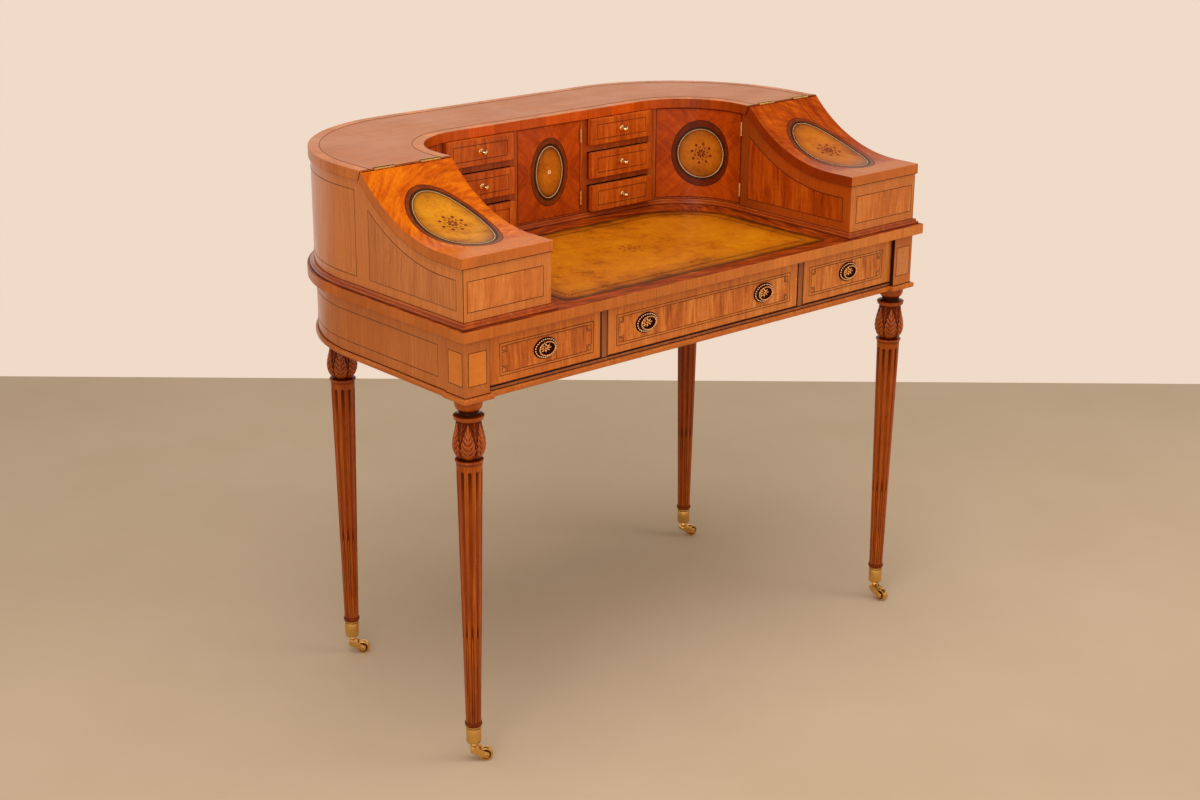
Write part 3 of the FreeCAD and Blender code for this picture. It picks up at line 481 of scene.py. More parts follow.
def lidOverlay(at, normal, colour):
    x, y = split(at)[:2]
    facing = split(normal)
    edge = blend(0.65, leafTint(x + y, colour, 0.055, 0.25), tint(194, 112, 54))
    # painted shade: the lid edges that face into the gallery are darker
    inward = maths("SIGN", x) * facing[0] < -0.5
    edge = blend(inward, edge, washed(edge, 0.52, 0.24, 0.08))
    # the right lid is darker, with upright streaks; the flat front of both is faded by the sun
    streak = noise(combine(x * 85.0, y * 8.0, 0.0), 1.0, 3.0, 0.6, 0.5)
    deep = blend(span(streak, 0.46, 0.66, 0.0, 0.6), colour, tint(128, 36, 1))
    colour = blend(x > 0.0, colour, washed(deep, *lidFlame["right"]))
    faded = blend(0.6, colour, tint(198, 112, 40))
    colour = blend(span(y, -0.25, -0.272, 0.0, 1.0, True), colour, faded)
    plain = washed(blend(0.5, colour, tint(150, 76, 30)), 0.62, 0.56, 0.5)
    return blend(facing[2] < -0.5, blend(isTop(normal), edge, colour), plain)


lidVeneer = woodFinish("lidVeneer", "flame", lidWay, lidOverlay, coat=0.3, shine=0.06, film=0.1)

# Doors: four matched leaves whose flame runs out from the oval
doorSet = {"middleZ": 878.4, "cornerMiddle": 77.3}


def fromCentre(at):
    return split(at)[0]


def fromCornerMiddle(at):
    side = maths("SIGN", split(at)[0]) * sideGap
    return planAt(at, "gallery")["Along"] - doorSet["cornerMiddle"] * mm - side


def doorWay(fromMiddle):
    def way(at, normal):
        y, z = split(at)[1:]
        u = abs(fromMiddle(at))
        v = abs(z - doorSet["middleZ"] * mm)
        slope = math.sqrt(0.5)
        return combine((u - v) * slope, y * 0.2, (u + v) * slope)
    return way


def shadeTowardsHinge(at, normal, colour):
    # painted shade: the corner doors darken towards their hinge side
    return dimmed(colour, span(split(at)[1], 0.018, -0.012, 1.06, 0.84, True))


centreDoorVeneer = woodFinish("centreDoorVeneer", "door", doorWay(fromCentre), shine=0.12)
cornerDoorVeneer = woodFinish("cornerDoorVeneer", "door", doorWay(fromCornerMiddle), shadeTowardsHinge, shine=0.12)

# Drawers: veneer on the front board, plain red wood behind it
drawerSet = {"friezeBack": -286.8, "friezeWood": (142, 78, 38), "smallWood": (118, 34, 3),
             "smallBack": {"top": 120.7, "middle": 118.2, "bottom": 116.7}}


def drawerOverlay(frontBack, plain):
    def overlay(at, normal, colour):
        x, y, z = split(at)
        run = choose(isFlat(normal, 0), x, y)
        across = choose(isFlat(normal), z, y)
        streaks = noise(combine(run * 5.0, across * 85.0, 0.0), 1.0, 4.0, 0.65, 0.5)
        tones = [(spot, tint(*(share * value for value in plain)))
                 for spot, share in ((0.28, 0.86), (0.5, 1.0), (0.74, 1.25))]
        return blend(y > frontBack * mm, colour, ramp(streaks, *tones))
    return overlay


# Frieze: painted light, deep on the left and paler towards the right where more light falls
def rightLitOverlay(at, normal, colour):
    return paintedLightAcross(at, colour, -0.45, 0.45, (0.98, 0.87, 0.6), (1.0, 1.1, 1.25))


def friezeOverlay(at, normal, colour):
    plain = drawerOverlay(drawerSet["friezeBack"], drawerSet["friezeWood"])
    return plain(at, normal, rightLitOverlay(at, normal, colour))


friezeDrawerVeneer = woodFinish("friezeDrawerVeneer", "satin", None, friezeOverlay, shine=0.2)
smallDrawerVeneer = {}
for row, frontBack in drawerSet["smallBack"].items():
    plain = drawerOverlay(frontBack, drawerSet["smallWood"])
    smallDrawerVeneer[row] = woodFinish("smallDrawerVeneer-" + row, "small", None, plain, shine=0.2)


def deeperOverlay(at, normal, colour):
    return washed(colour, 0.86, 0.79, 0.7)


# Boards of the wings: painted shade, deeper and redder on the faces that look into the desk and darker
# towards the back
wingInsideShade = {"inside": 0.3592, "wash": (0.76, 0.44, 0.16), "fade": (-0.14, -0.03), "back": 0.66}


def wingShadeOverlay(at, normal, colour):
    x, y = split(at)[:2]
    dim = span(y, *wingInsideShade["fade"], 1.0, wingInsideShade["back"], True)
    deeper = dimmed(washed(colour, *wingInsideShade["wash"]), dim)
    return blend(abs(x) < wingInsideShade["inside"], colour, deeper)


# Pilasters: bright on the left, paler on the right
def pilasterOverlay(at, normal, colour):
    return onRight(at, colour, (0.86, 1.04, 3.0))


caseVeneer = woodFinish("caseVeneer", "quiet")
apronVeneer = woodFinish("apronVeneer", "quiet", None, deeperOverlay, shine=0.2)
wingVeneer = woodFinish("wingVeneer", "quiet", None, wingShadeOverlay, shine=0.25)
shadedInsideVeneer = woodFinish("shadedInsideVeneer", "inside", shine=0.15)
panelVeneer = woodFinish("panelVeneer", "field", None, rightLitOverlay, shine=0.2)
frontVeneer = woodFinish("frontVeneer", "front", shine=0.2)
pilasterVeneer = woodFinish("pilasterVeneer", "bright", None, pilasterOverlay)
sideVeneer = woodFinish("sideVeneer", "pinstripe")


# Mouldings: grain along their run, with painted shade on their upright faces and in the quirks
def alongRun(at, normal):
    plan = planAt(at, "moulding")
    return combine(split(at)[2], plan["Inset"], plan["Along"])


def mouldingShadeOverlay(at, normal, colour):
    steep = abs(split(normal)[2])
    return blend(span(steep, 0.9, 0.2, 0.0, 0.25), colour, tint(112, 32, 5))


beadWood = woodFinish("beadWood", "red", alongRun, mouldingShadeOverlay, coat=0.6, gloss=(0.2, 0.3), shine=0.2)
baseWood = woodFinish("baseWood", "satin", alongRun, deeperOverlay, shine=0.12)
innerWood = woodFinish("innerWood", "red", coat=0.3, gloss=(0.4, 0.55))
frameWood = woodFinish("frameWood", "rail")


def legOverlay(at, normal, colour):
    # partly stain, partly painted shade: the hollows of the turning, the carving and the flutes darken, near
    # black in the deepest
    hollow = stored(at, "hollow")
    colour = blend(span(hollow, 0.05, 0.6, 0.0, 0.85), colour, tint(92, 28, 3))
    return blend(span(hollow, 0.65, 1.0, 0.0, 0.9), colour, tint(34, 11, 4))


legWood = woodFinish("legWood", "leg", None, legOverlay, coat=0.48, gloss=(0.22, 0.34), shine=0.08, film=0.08,
                     hollows=True)

leatherSet = {
    "front": -296.5,
    "writingLeather": {"gold": tint(216, 134, 10), "amber": tint(196, 109, 4), "brown": tint(126, 62, 2),
                       "edge": tint(38, 15, 2), "rim": 0.021},
    "doorHide": {"gold": tint(216, 130, 18), "amber": tint(192, 104, 9), "brown": tint(136, 66, 5),
                 "edge": tint(62, 32, 6), "rim": 0.008},
    "ovalHide": {"gold": tint(220, 152, 20), "amber": tint(200, 124, 10), "brown": tint(158, 86, 7),
                 "edge": tint(70, 40, 10), "rim": 0.007, "right": (0.82, 0.58, 0.4)},
}


# Hide: amber patches, fine creases, darker worn rims
def hide(name, rimDistance):
    s = leatherSet[name]
    material, shader, spot = blank(name)
    at, rim = spot["Object"], s["rim"]
    patches = noise(at, 8.0, 6.0, 0.66, 0.5)
    smudges = noise(at, 42.0, 4.0, 0.65, 0.6)
    flecks = noise(at, 170.0, 3.0, 0.6)
    tone = (flecks - 0.5) * 0.4 + (smudges - 0.5) * 0.45 + patches
    colour = ramp(tone, (0.26, s["brown"]), (0.46, s["amber"]), (0.72, s["gold"]))
    wander = (patches - 0.5) * (0.6 * rim) + rimDistance(at)
    aged = washed(colour, 0.62, 0.54, 0.4)
    colour = blend(span(wander, 0.0, 3.5 * rim, 0.9, 0.0, True), colour, aged)
    colour = blend(span(wander, 0.0, rim, 0.9, 0.0, True), colour, s["edge"])
    if "right" in s:
        colour = onRight(at, colour, s["right"])
    touch = group(handled, Vector=at, Scale=11.0)
    cells = take(at.tree, "ShaderNodeTexVoronoi", {"Vector": at, "Scale": 850.0}, feature="DISTANCE_TO_EDGE")
    feed(shader, {
        "Base Color": colour, "Roughness": span(touch["Smear"], 0.0, 1.0, 0.3, 0.48),
        "Normal": bumped(flecks * 0.6 + span(cells, 0.0, 0.25), 0.3, 0.0002),
        "Coat Weight": 0.15, "Coat Roughness": 0.2, "Specular IOR Level": 0.15})
    return material


def writingRim(at):
    return smaller(planAt(at, "leather")["Inset"], split(at)[1] - leatherSet["front"] * mm)


def ovalRim(at):
    return stored(at, "rim")


writingLeather = hide("writingLeather", writingRim)
doorHide = hide("doorHide", ovalRim)
ovalHide = hide("ovalHide", ovalRim)

# Flat inlays and stains with a little cloud in their colour
inlaySet = {
    "stringing": {"dark": (40, 14, 5), "light": (64, 24, 9), "rough": 0.45, "scale": 200.0, "coat": 0.1},
    "fineStringing": {"dark": (40, 14, 5), "light": (62, 24, 9), "rough": 0.45, "scale": 200.0, "coat": 0.1},
    "sideStringing": {"dark": (92, 44, 18), "light": (124, 64, 28), "rough": 0.45, "scale": 200.0,
                      "coat": 0.2},
    "shadowGap": {"dark": (34, 8, 8), "light": (52, 14, 12), "rough": 0.6, "scale": 200.0, "coat": 0.0},
    "ovalBrown": {"dark": (98, 34, 3), "light": (138, 56, 7), "rough": 0.35, "scale": 70.0, "coat": 0.25},
    "ovalDeep": {"dark": (86, 24, 3), "light": (120, 42, 6), "rough": 0.35, "scale": 70.0, "coat": 0.2},
    "ovalDark": {"dark": (44, 20, 6), "light": (70, 34, 9), "rough": 0.45, "scale": 120.0, "coat": 0.2},
    "creamTooling": {"dark": (255, 204, 146), "light": (255, 228, 184), "rough": 0.4, "scale": 300.0,
                     "coat": 0.0},
    "floretStain": {"dark": (96, 24, 8), "light": (128, 42, 14), "rough": 0.5, "scale": 300.0, "coat": 0.0},
    "faintStain": {"dark": (134, 60, 5), "light": (158, 78, 8), "rough": 0.5, "scale": 300.0, "coat": 0.0},
    "toolStain": {"dark": (66, 16, 3), "light": (88, 28, 5), "rough": 0.5, "scale": 200.0, "coat": 0.0},
    "lining": {"dark": (10, 7, 6), "light": (22, 15, 12), "rough": 0.85, "scale": 600.0, "coat": 0.0},
}


def inlayFinish(name, s):
    material, shader, spot = blank(name)
    cloud = noise(spot["Object"], s["scale"], 4.0, 0.65)
    feed(shader, {
        "Base Color": ramp(cloud, (0.3, tint(*s["dark"])), (0.7, tint(*s["light"]))),
        "Roughness": span(cloud, 0.3, 0.7, s["rough"], s["rough"] + 0.12),
        "Coat Weight": s["coat"], "Coat Roughness": 0.16, "Specular IOR Level": 0.15})
    return material


brassSet = {
    "antique": {"bright": (150, 64, 42), "dark": (62, 19, 13), "amount": 0.25, "gloss": (0.25, 0.5)},
    "bead": {"bright": (255, 226, 190), "dark": (150, 70, 42), "amount": -0.04, "gloss": (0.12, 0.28)},
    "bright": {"bright": (255, 226, 160), "dark": (150, 92, 36), "amount": -0.02, "gloss": (0.1, 0.24)},
    "gilt": {"bright": (255, 200, 132), "dark": (138, 48, 20), "amount": -0.1, "gloss": (0.14, 0.32)},
    "hinge": {"bright": (250, 206, 124), "dark": (84, 48, 20), "amount": 0.2, "gloss": (0.16, 0.4)},
    "castor": {"bright": (228, 180, 102), "dark": (112, 70, 28), "amount": 0.12, "gloss": (0.18, 0.38)},
}


def brassFinish(name, s):
    material, shader, spot = blank(name)
    at = spot["Object"]
    worn = group(tarnish, Vector=at, Hollow=stored(at, "hollow"), Amount=s["amount"])
    feed(shader, {
        "Base Color": blend(worn["Mask"], tint(*s["bright"]), tint(*s["dark"])),
        "Roughness": worn["Rub"] * 0.12 + span(worn["Mask"], 0.0, 1.0, *s["gloss"]), "Metallic": 1.0})
    return material


inlay = {name: inlayFinish(name, s) for name, s in inlaySet.items()}
brass = {kind: brassFinish(kind + "Brass", s) for kind, s in brassSet.items()}
print("materials made")

# CAD nodes that keep their shape, by the start of their names
nodeFinish = (
    ("small_drawer", smallDrawerVeneer), ("writing_top", slabVeneer), ("leather_panel", writingLeather),
    ("front_frame", frameWood), ("frieze_apron", apronVeneer), ("base_moulding", baseWood),
    ("wing_panels", wingVeneer), ("back_wall", caseVeneer), ("outer_wall", caseVeneer),
    ("gallery_bead", beadWood), ("upper_shelf", shelfVeneer), ("lid_hinges", brass["hinge"]),
    ("lid_", lidVeneer), ("corner_door_hinges", brass["hinge"]), ("corner_door", cornerDoorVeneer),
    ("centre_door_hinges", brass["hinge"]), ("centre_door", centreDoorVeneer),
    ("fixed_hinges", brass["hinge"]), ("frieze_drawer", friezeDrawerVeneer), ("knob", brass["bright"]),
    ("", innerWood),
)
for name, node in parts.items():
    finish = next(material for start, material in nodeFinish if name.startswith(start))
    if finish is smallDrawerVeneer:
        finish = smallDrawerVeneer[name.rsplit("_", 1)[1]]
    node.data.materials.clear()
    node.data.materials.append(finish)
print("finishes given to the CAD nodes")


# Shells of a piece are gathered in millimetres, with each point's hollow and its distance from a rim
def newShape():
    return {"verts": [], "faces": [], "hollow": [], "rim": []}


def addShell(shape, verts, faces, hollow=None, rim=None):
    base = len(shape["verts"])
    shape["verts"] += [tuple(point) for point in verts]
    shape["faces"] += [tuple(base + i for i in face) for face in faces]
    shape["hollow"] += hollow or [0.0] * len(verts)
    shape["rim"] += rim or [0.0] * len(verts)


def skin(rings, wrap=False):
    # points and faces of rings joined in turn, with flat ends or the last ring joined to the first
    rows, n = len(rings), len(rings[0])
    faces = []
    for i in range(rows if wrap else rows - 1):
        a, b = i * n, (i + 1) % rows * n
        faces += [(a + k, a + (k + 1) % n, b + (k + 1) % n, b + k) for k in range(n)]
    if not wrap:
        faces += [tuple(range(n - 1, -1, -1)), tuple(range((rows - 1) * n, rows * n))]
    return [point for ring in rings for point in ring], faces


def shown(name, data):
    item = bpy.data.objects.new(name, data)
    bpy.context.scene.collection.objects.link(item)
    return item


def settle(name, mesh, body, replaced=()):
    piece = shown(name, mesh)
    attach(piece, body)
    if replaced:
        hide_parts(*replaced)


def tidyMesh(mesh, sharp=38.0):
    work = bmesh.new()
    work.from_mesh(mesh)
    bmesh.ops.remove_doubles(work, verts=work.verts, dist=2e-7)
    bmesh.ops.recalc_face_normals(work, faces=work.faces)
    work.to_mesh(mesh)
    work.free()
    mesh.shade_smooth()
    mesh.set_sharp_from_angle(angle=math.radians(sharp))
    return mesh


def shapeMesh(name, shape, material, sharp=38.0):
    mesh = bpy.data.meshes.new(name)
    mesh.from_pydata([scaled(point) for point in shape["verts"]], [], shape["faces"])
    for label in ("hollow", "rim"):
        if any(shape[label]):
            layer = mesh.attributes.new(label, "FLOAT", "POINT")
            layer.data.foreach_set("value", shape[label])
    mesh.materials.append(material)
    return tidyMesh(mesh, sharp)


def makePiece(name, shape, material, body, replaced=(), sharp=38.0):
    settle(name, shapeMesh(name, shape, material, sharp), body, replaced)


def spread(a, b, n):
    return [a + (b - a) * k / n for k in range(n + 1)]


def circle(n, start=0.0):
    turns = [start + 2 * math.pi * k / n for k in range(n)]
    return [(math.cos(turn), math.sin(turn)) for turn in turns]


def smoothLine(points, steps):
    # a curve through the points, in even steps between each pair
    out = []
    for i in range(len(points) - 1):
        a, b = points[max(i - 1, 0)], points[i]
        c, d = points[i + 1], points[min(i + 2, len(points) - 1)]
        for k in range(steps):
            t = k / steps
            out.append(tuple(0.5 * (2 * q + (r - p) * t + (2 * p - 5 * q + 4 * r - s) * t * t
                                    + (3 * q - p - 3 * r + s) * t ** 3) for p, q, r, s in zip(a, b, c, d)))
    return out + [tuple(points[-1])]


def lathe(shape, axis, profile, steps=72):
    # profile points are (radius, height) and how hollow they are, if at all; the ends close on the axis
    rings, hollow = [], []
    for radius, z, *deep in [(0.0, profile[0][1]), *profile, (0.0, profile[-1][1])]:
        rings.append([(axis[0] + radius * c, axis[1] + radius * s, z) for c, s in circle(steps)])
        hollow += (deep or [0.0]) * steps
    addShell(shape, *skin(rings), hollow)


def plate(shape, loop, normal, top=0.05, base=-0.5):
    # a thin inlay with a flat face standing at top above the loop and its root at base
    rings = [[Vector(point) + Vector(normal) * height for point in loop] for height in (top, base)]
    addShell(shape, *skin(rings))


# Geometry trees
def closeTree(tree, given, ends, shape):
    real = take(tree, "GeometryNodeRealizeInstances", {"Geometry": shape})
    done = take(tree, "GeometryNodeSetMaterial", {"Geometry": real, "Material": given["Material"]})
    return give(tree, ends, Geometry=done)


# A thin round line along a run
def makeStringingTree():
    tree, given, ends = newTree(
        "stringingRun", "GeometryNodeTree",
        [("Geometry", "Geometry", None), ("Line Radius", "Float", 0.0005), ("Sides", "Int", 6),
         ("Material", "Material", None)],
        [("Geometry", "Geometry")])
    path = take(tree, "GeometryNodeMeshToCurve", {"Mesh": given["Geometry"]})
    section = take(tree, "GeometryNodeCurvePrimitiveCircle",
                   {"Resolution": given["Sides"], "Radius": given["Line Radius"]})
    line = take(tree, "GeometryNodeCurveToMesh", {"Curve": path, "Profile Curve": section, "Fill Caps": True})
    return closeTree(tree, given, ends, line)


# Beads or dashes set end to end along a run
def makeBeadTree():
    tree, given, ends = newTree(
        "beadRow", "GeometryNodeTree",
        [("Geometry", "Geometry", None), ("Pitch", "Float", 0.003),
         ("Bead Size", "Vector", (0.001, 0.001, 0.001)), ("Fineness", "Int", 2),
         ("Material", "Material", None)],
        [("Geometry", "Geometry")])
    path = take(tree, "GeometryNodeMeshToCurve", {"Mesh": given["Geometry"]})
    sockets = {"Curve": path, "Length": given["Pitch"]}
    spots = outs(tree, put(tree, "GeometryNodeCurveToPoints", sockets, mode="LENGTH"))
    way = take(tree, "FunctionNodeAlignRotationToVector", {"Vector": spots["Tangent"]}, axis="X")
    bead = take(tree, "GeometryNodeMeshIcoSphere", {"Radius": 1.0, "Subdivisions": given["Fineness"]})
    bead = take(tree, "GeometryNodeSetShadeSmooth", {"Geometry": bead})
    rows = take(tree, "GeometryNodeInstanceOnPoints",
                {"Points": spots["Points"], "Instance": bead, "Rotation": way, "Scale": given["Bead Size"]})
    return closeTree(tree, given, ends, rows)


# Tapered column with round topped flutes, filled near the foot but for a groove at each side
def makeFlutedTree():
    tree, given, ends = newTree(
        "flutedColumn", "GeometryNodeTree",
        [("Geometry", "Geometry", None), ("Axis", "Vector", (0.0, 0.0, 0.0)), ("Foot", "Float", 0.07),
         ("Head", "Float", 0.54), ("Foot Radius", "Float", 0.013), ("Head Radius", "Float", 0.0215),
         ("Flutes", "Int", 10), ("Flute Share", "Float", 0.48), ("Depth", "Float", 0.0025),
         ("Flute Top", "Float", 0.532), ("Fill Top", "Float", 0.228), ("Around", "Int", 161),
         ("Rows", "Int", 110), ("Material", "Material", None)],
        [("Geometry", "Geometry")])
    fluteTop, fillTop, rows = given["Flute Top"], given["Fill Top"], given["Rows"]
    grid = take(tree, "GeometryNodeMeshGrid",
                {"Size X": 1.0, "Size Y": 1.0, "Vertices X": given["Around"], "Vertices Y": rows})
    x, y = split(take(tree, "GeometryNodeInputPosition"))[:2]
    u = x + 0.5
    row = (y + 0.5) * (rows - 1.0)
    t = larger(smaller((row - 1.0) / (rows - 3.0), 1.0), 0.0)
    rise = maths("SINE", t * (math.pi / 2))  # rows crowd at the head
    height = rise * (given["Head"] - given["Foot"]) + given["Foot"]
    radius = rise * (given["Head Radius"] - given["Foot Radius"]) + given["Foot Radius"]
    # across one flute: 0 in its middle and 1 at its arris
    local = maths("FRACT", u * given["Flutes"]) - 0.5
    across = abs(local) / (given["Flute Share"] * 0.5)
    reach = radius * (2 * math.pi) / given["Flutes"] * given["Flute Share"] * 0.5
    over = larger(height - (fluteTop - reach), 0.0) / reach
    scoop = maths("SQRT", larger(1.0 - (across * across + over * over), 0.0))
    groove = (across < 1.0) * (across > 0.62) * 0.45
    filled = span(height, fillTop + 0.004, fillTop - 0.004)
    cut = choose(filled, scoop, groove)
    sunk = given["Depth"] * (radius / given["Head Radius"]) * cut
    between = (row > 0.5) * (row < rows - 1.5)  # the end rows close on the axis
    radius = (radius - sunk) * between
    turn = u * (2 * math.pi)
    spot = combine(radius * maths("COSINE", turn), radius * maths("SINE", turn), height)
    spot = take(tree, "ShaderNodeVectorMath", {0: spot, 1: given["Axis"]}, operation="ADD")
    # the flutes are darker under their round heads and just above the fill, painted shade; the grooves of the
    # filled part are darker too
    shaded = span(height, fluteTop - 0.06, fluteTop - 0.006, 0.34, 0.85)
    low = span(height, fillTop + 0.035, fillTop + 0.006, 0.0, 0.8)
    stainAndShade = cut * choose(filled, larger(shaded, low), 2.2)
    kept = take(tree, "GeometryNodeStoreNamedAttribute", {"Geometry": grid, "Name": "hollow", "Value": stainAndShade},
                data_type="FLOAT", domain="POINT")
    bent = take(tree, "GeometryNodeSetPosition", {"Geometry": kept, "Position": spot})
    shut = take(tree, "GeometryNodeMergeByDistance", {"Geometry": bent, "Distance": 1e-6})
    return closeTree(tree, given, ends, shut)


stringingTree = makeStringingTree()
beadTree = makeBeadTree()
flutedTree = makeFlutedTree()


def grown(name, guide, tree, **values):
    # runs a geometry tree on a guide mesh and gives back the plain mesh
    carrier = shown(name + "Guide", guide)
    grower = carrier.modifiers.new("grow", "NODES")
    grower.node_group = tree
    for item in tree.interface.items_tree:
        label = item.name.replace(" ", "")
        if item.in_out == "INPUT" and label in values:
            grower[item.identifier] = values[label]
    made = bpy.data.meshes.new_from_object(carrier.evaluated_get(bpy.context.evaluated_depsgraph_get()))
    carrier.modifiers.remove(grower)
    bpy.data.objects.remove(carrier)
    made.name = name
    # the tree's primitives bring an empty slot of their own, so the mesh is left with one
    made.polygons.foreach_set("material_index", [0] * len(made.polygons))
    made.materials.clear()
    made.materials.append(values["Material"])
    return made


def lineGuide(name, runs):
    # runs are (points in millimetres, closed)
    verts, edges = [], []
    for points, closed in runs:
        base, n = len(verts), len(points)
        verts += [scaled(point) for point in points]
        edges += [(base + k, base + k + 1) for k in range(n - 1)]
        if closed:
            edges.append((base + n - 1, base))
    guide = bpy.data.meshes.new(name)
    guide.from_pydata(verts, edges, [])
    return guide


def thread(name, runs, radius, count, material):
    return grown(name, lineGuide(name, runs), stringingTree, LineRadius=radius * mm, Sides=count,
                 Material=material)


def beadRow(name, runs, pitch, size, fineness, material):
    return grown(name, lineGuide(name, runs), beadTree, Pitch=pitch * mm, BeadSize=scaled(size),
                 Fineness=fineness, Material=material)


def joined(name, meshes):
    # shells of one piece in one mesh; each keeps its own material
    work = bmesh.new()
    made = bpy.data.meshes.new(name)
    finishes = []
    for mesh in meshes:
        start = len(work.faces)
        work.from_mesh(mesh)
        work.faces.ensure_lookup_table()
        own = mesh.materials[0]
        if own not in finishes:
            finishes.append(own)
        for face in work.faces[start:]:
            face.material_index = finishes.index(own)
    work.to_mesh(made)
    work.free()
    for own in finishes:
        made.materials.append(own)
    return made


print("geometry trees made")

# Lines let into the veneer
lineSet = {"radius": 0.82, "fine": 0.8, "sink": 0.3}
sink = lineSet["sink"]


def drawLines(name, runs, body, radius=lineSet["radius"], finish="stringing"):
    mesh = thread(name, runs, radius, 6, inlay[finish])
    settle(name, tidyMesh(mesh, 60.0), body)


def uPlan(name, grow=0.0):
    # point and outward way at a distance from the middle of the back, towards the right
    half, back, radius = (value + grow for value in planSet[name])
    straight, quarter = half - radius, radius * math.pi / 2

    def at(t):
        sign, d = (1 if t >= 0 else -1), abs(t)
        if d <= straight:
            x, y, nx, ny = d, back, 0.0, 1.0
        elif d <= straight + quarter:
            turn = (d - straight) / radius
            nx, ny = math.sin(turn), math.cos(turn)
            x, y = straight + radius * nx, back - radius + radius * ny
        else:
            x, y, nx, ny = half, back - radius - (d - straight - quarter), 1.0, 0.0
        return sign * x, y, sign * nx, ny

    def reachY(y):
        return straight + quarter + (back - radius) - y

    return at, reachY


def runAlong(plan, t0, t1, steps, z):
    return [plan(t)[:2] + (z,) for t in spread(t0, t1, steps)]


def wallLoop(plan, t0, t1, z0, z1, steps=60):
    # a closed line on a curved wall, sunk a little into it
    run = []
    for t in spread(t0, t1, steps):
        x, y, nx, ny = plan(t)
        run.append((x - nx * sink, y - ny * sink))
    return [(x, y, z0) for x, y in run] + [(x, y, z1) for x, y in reversed(run)]


lidSet = {"front": -313.3, "flatEnd": -261.3, "flatZ": 892.3, "radius": 295.05, "centreX": 448.55}
lidSet["arcZ"] = lidSet["flatZ"] + lidSet["radius"]


def underLid(y, depth):
    # height of a line that runs at that depth below the lid's face
    if y <= lidSet["flatEnd"]:
        return lidSet["flatZ"] - depth
    return lidSet["arcZ"] - math.sqrt((lidSet["radius"] + depth) ** 2 - (y - lidSet["flatEnd"]) ** 2)


def wingLoop(x, y0, y1, z0, depth):
    top = [(x, y, underLid(y, depth)) for y in spread(y1, y0, 28)]
    return [(x, y0, z0), (x, y1, z0)] + top


def rectangle(place, u0, u1, v0, v1):
    return [place(u, v) for u, v in ((u0, v0), (u1, v0), (u1, v1), (u0, v1))]


def notched(place, u0, u1, v0, v1, notch):
    loop = []
    for u, v, du, dv in ((u0, v0, 1, 1), (u1, v0, -1, 1), (u1, v1, -1, -1), (u0, v1, 1, -1)):
        corner = [(u, v + dv * notch), (u + du * notch, v + dv * notch), (u + du * notch, v)]
        loop += corner if du == dv else corner[::-1]
    return [place(a, b) for a, b in loop]


def panel(runs, shape, loopAt, normal):
    # a line let into a face, and the field of veneer inside it
    runs.append((loopAt(sink), True))
    plate(shape, loopAt(0.0), normal)


wingSet = {"frontY": -310.4, "front": (375.0, 529.0, 802.5, 853.0), "inner": (-291.0, -46.0, 804.0, 43.0),
           "outer": (-292.0, -58.0, 803.5, 39.0), "end": (251.0, -20.0, 802.5, 949.5),
           "back": (231.0, 802.5, 949.5)}
friezeSet = {"from": -237.5, "z": (681.0, 735.0), "pilaster": (512.6, -287.5), "half": 25.1, "square": 18.0,
             "pilasterZ": (680.5, 736.0)}
innerX, outerX = planSet["gallery"][0], planSet["wall"][0]
deskRuns, sideRuns = [], []
fieldShape, sideShape, insideShape, brightShape = newShape(), newShape(), newShape(), newShape()
outerWall, outerReach = uPlan("wall")
apron, apronReach = uPlan("apron")
for side in (-1, 1):
    (px, py), half, square = friezeSet["pilaster"], friezeSet["half"], friezeSet["square"]

    def wingFront(depth):
        return rectangle(lambda u, v: (side * u, wingSet["frontY"] + depth, v), *wingSet["front"])

    def wingInside(depth):
        return wingLoop(side * (innerX + depth), *wingSet["inner"])

    def wingOutside(depth):
        return wingLoop(side * (outerX - depth), *wingSet["outer"])

    def pilasterFront(depth):
        face = lambda u, v: (side * u, py - half + depth, v)
        return rectangle(face, px - square, px + square, *friezeSet["pilasterZ"])

    def pilasterSide(depth):
        face = lambda u, v: (side * (px + half - depth), u, v)
        return rectangle(face, py - square, py + square, *friezeSet["pilasterZ"])

    panel(deskRuns, fieldShape, wingFront, (0, -1, 0))
    panel(deskRuns, insideShape, wingInside, (-side, 0, 0))
    panel(sideRuns, sideShape, wingOutside, (side, 0, 0))
    panel(deskRuns, brightShape, pilasterFront, (0, -1, 0))
    panel(deskRuns, brightShape, pilasterSide, (side, 0, 0))
    start, yEnd, z0, z1 = wingSet["end"]
    sideRuns.append((wallLoop(outerWall, side * start, side * outerReach(yEnd), z0, z1), True))
half, z0, z1 = wingSet["back"]
sideRuns.append((wallLoop(outerWall, -half, half, z0, z1, 1), True))
reach = apronReach(friezeSet["from"])
sideRuns.append((wallLoop(apron, -reach, reach, *friezeSet["z"], 120), True))
drawLines("caseStringing", deskRuns, "desk")
drawLines("sideStringing", sideRuns, "desk", lineSet["fine"], "sideStringing")
makePiece("panelFields", fieldShape, frontVeneer, "desk")
makePiece("sideFields", sideShape, sideVeneer, "desk")
makePiece("insideFields", insideShape, shadedInsideVeneer, "desk")
makePiece("pilasterFields", brightShape, pilasterVeneer, "desk")

shelfRuns = []
for plan, inset in (("shelf", shelfSet["band"]), ("shelfInner", -shelfSet["band"])):
    edge, edgeReach = uPlan(plan, -inset)
    end = edgeReach(shelfSet["front"])
    shelfRuns.append((runAlong(edge, -end, end, 140, shelfSet["z"] - sink), False))
drawLines("shelfStringing", shelfRuns, "desk", finish="sideStringing")

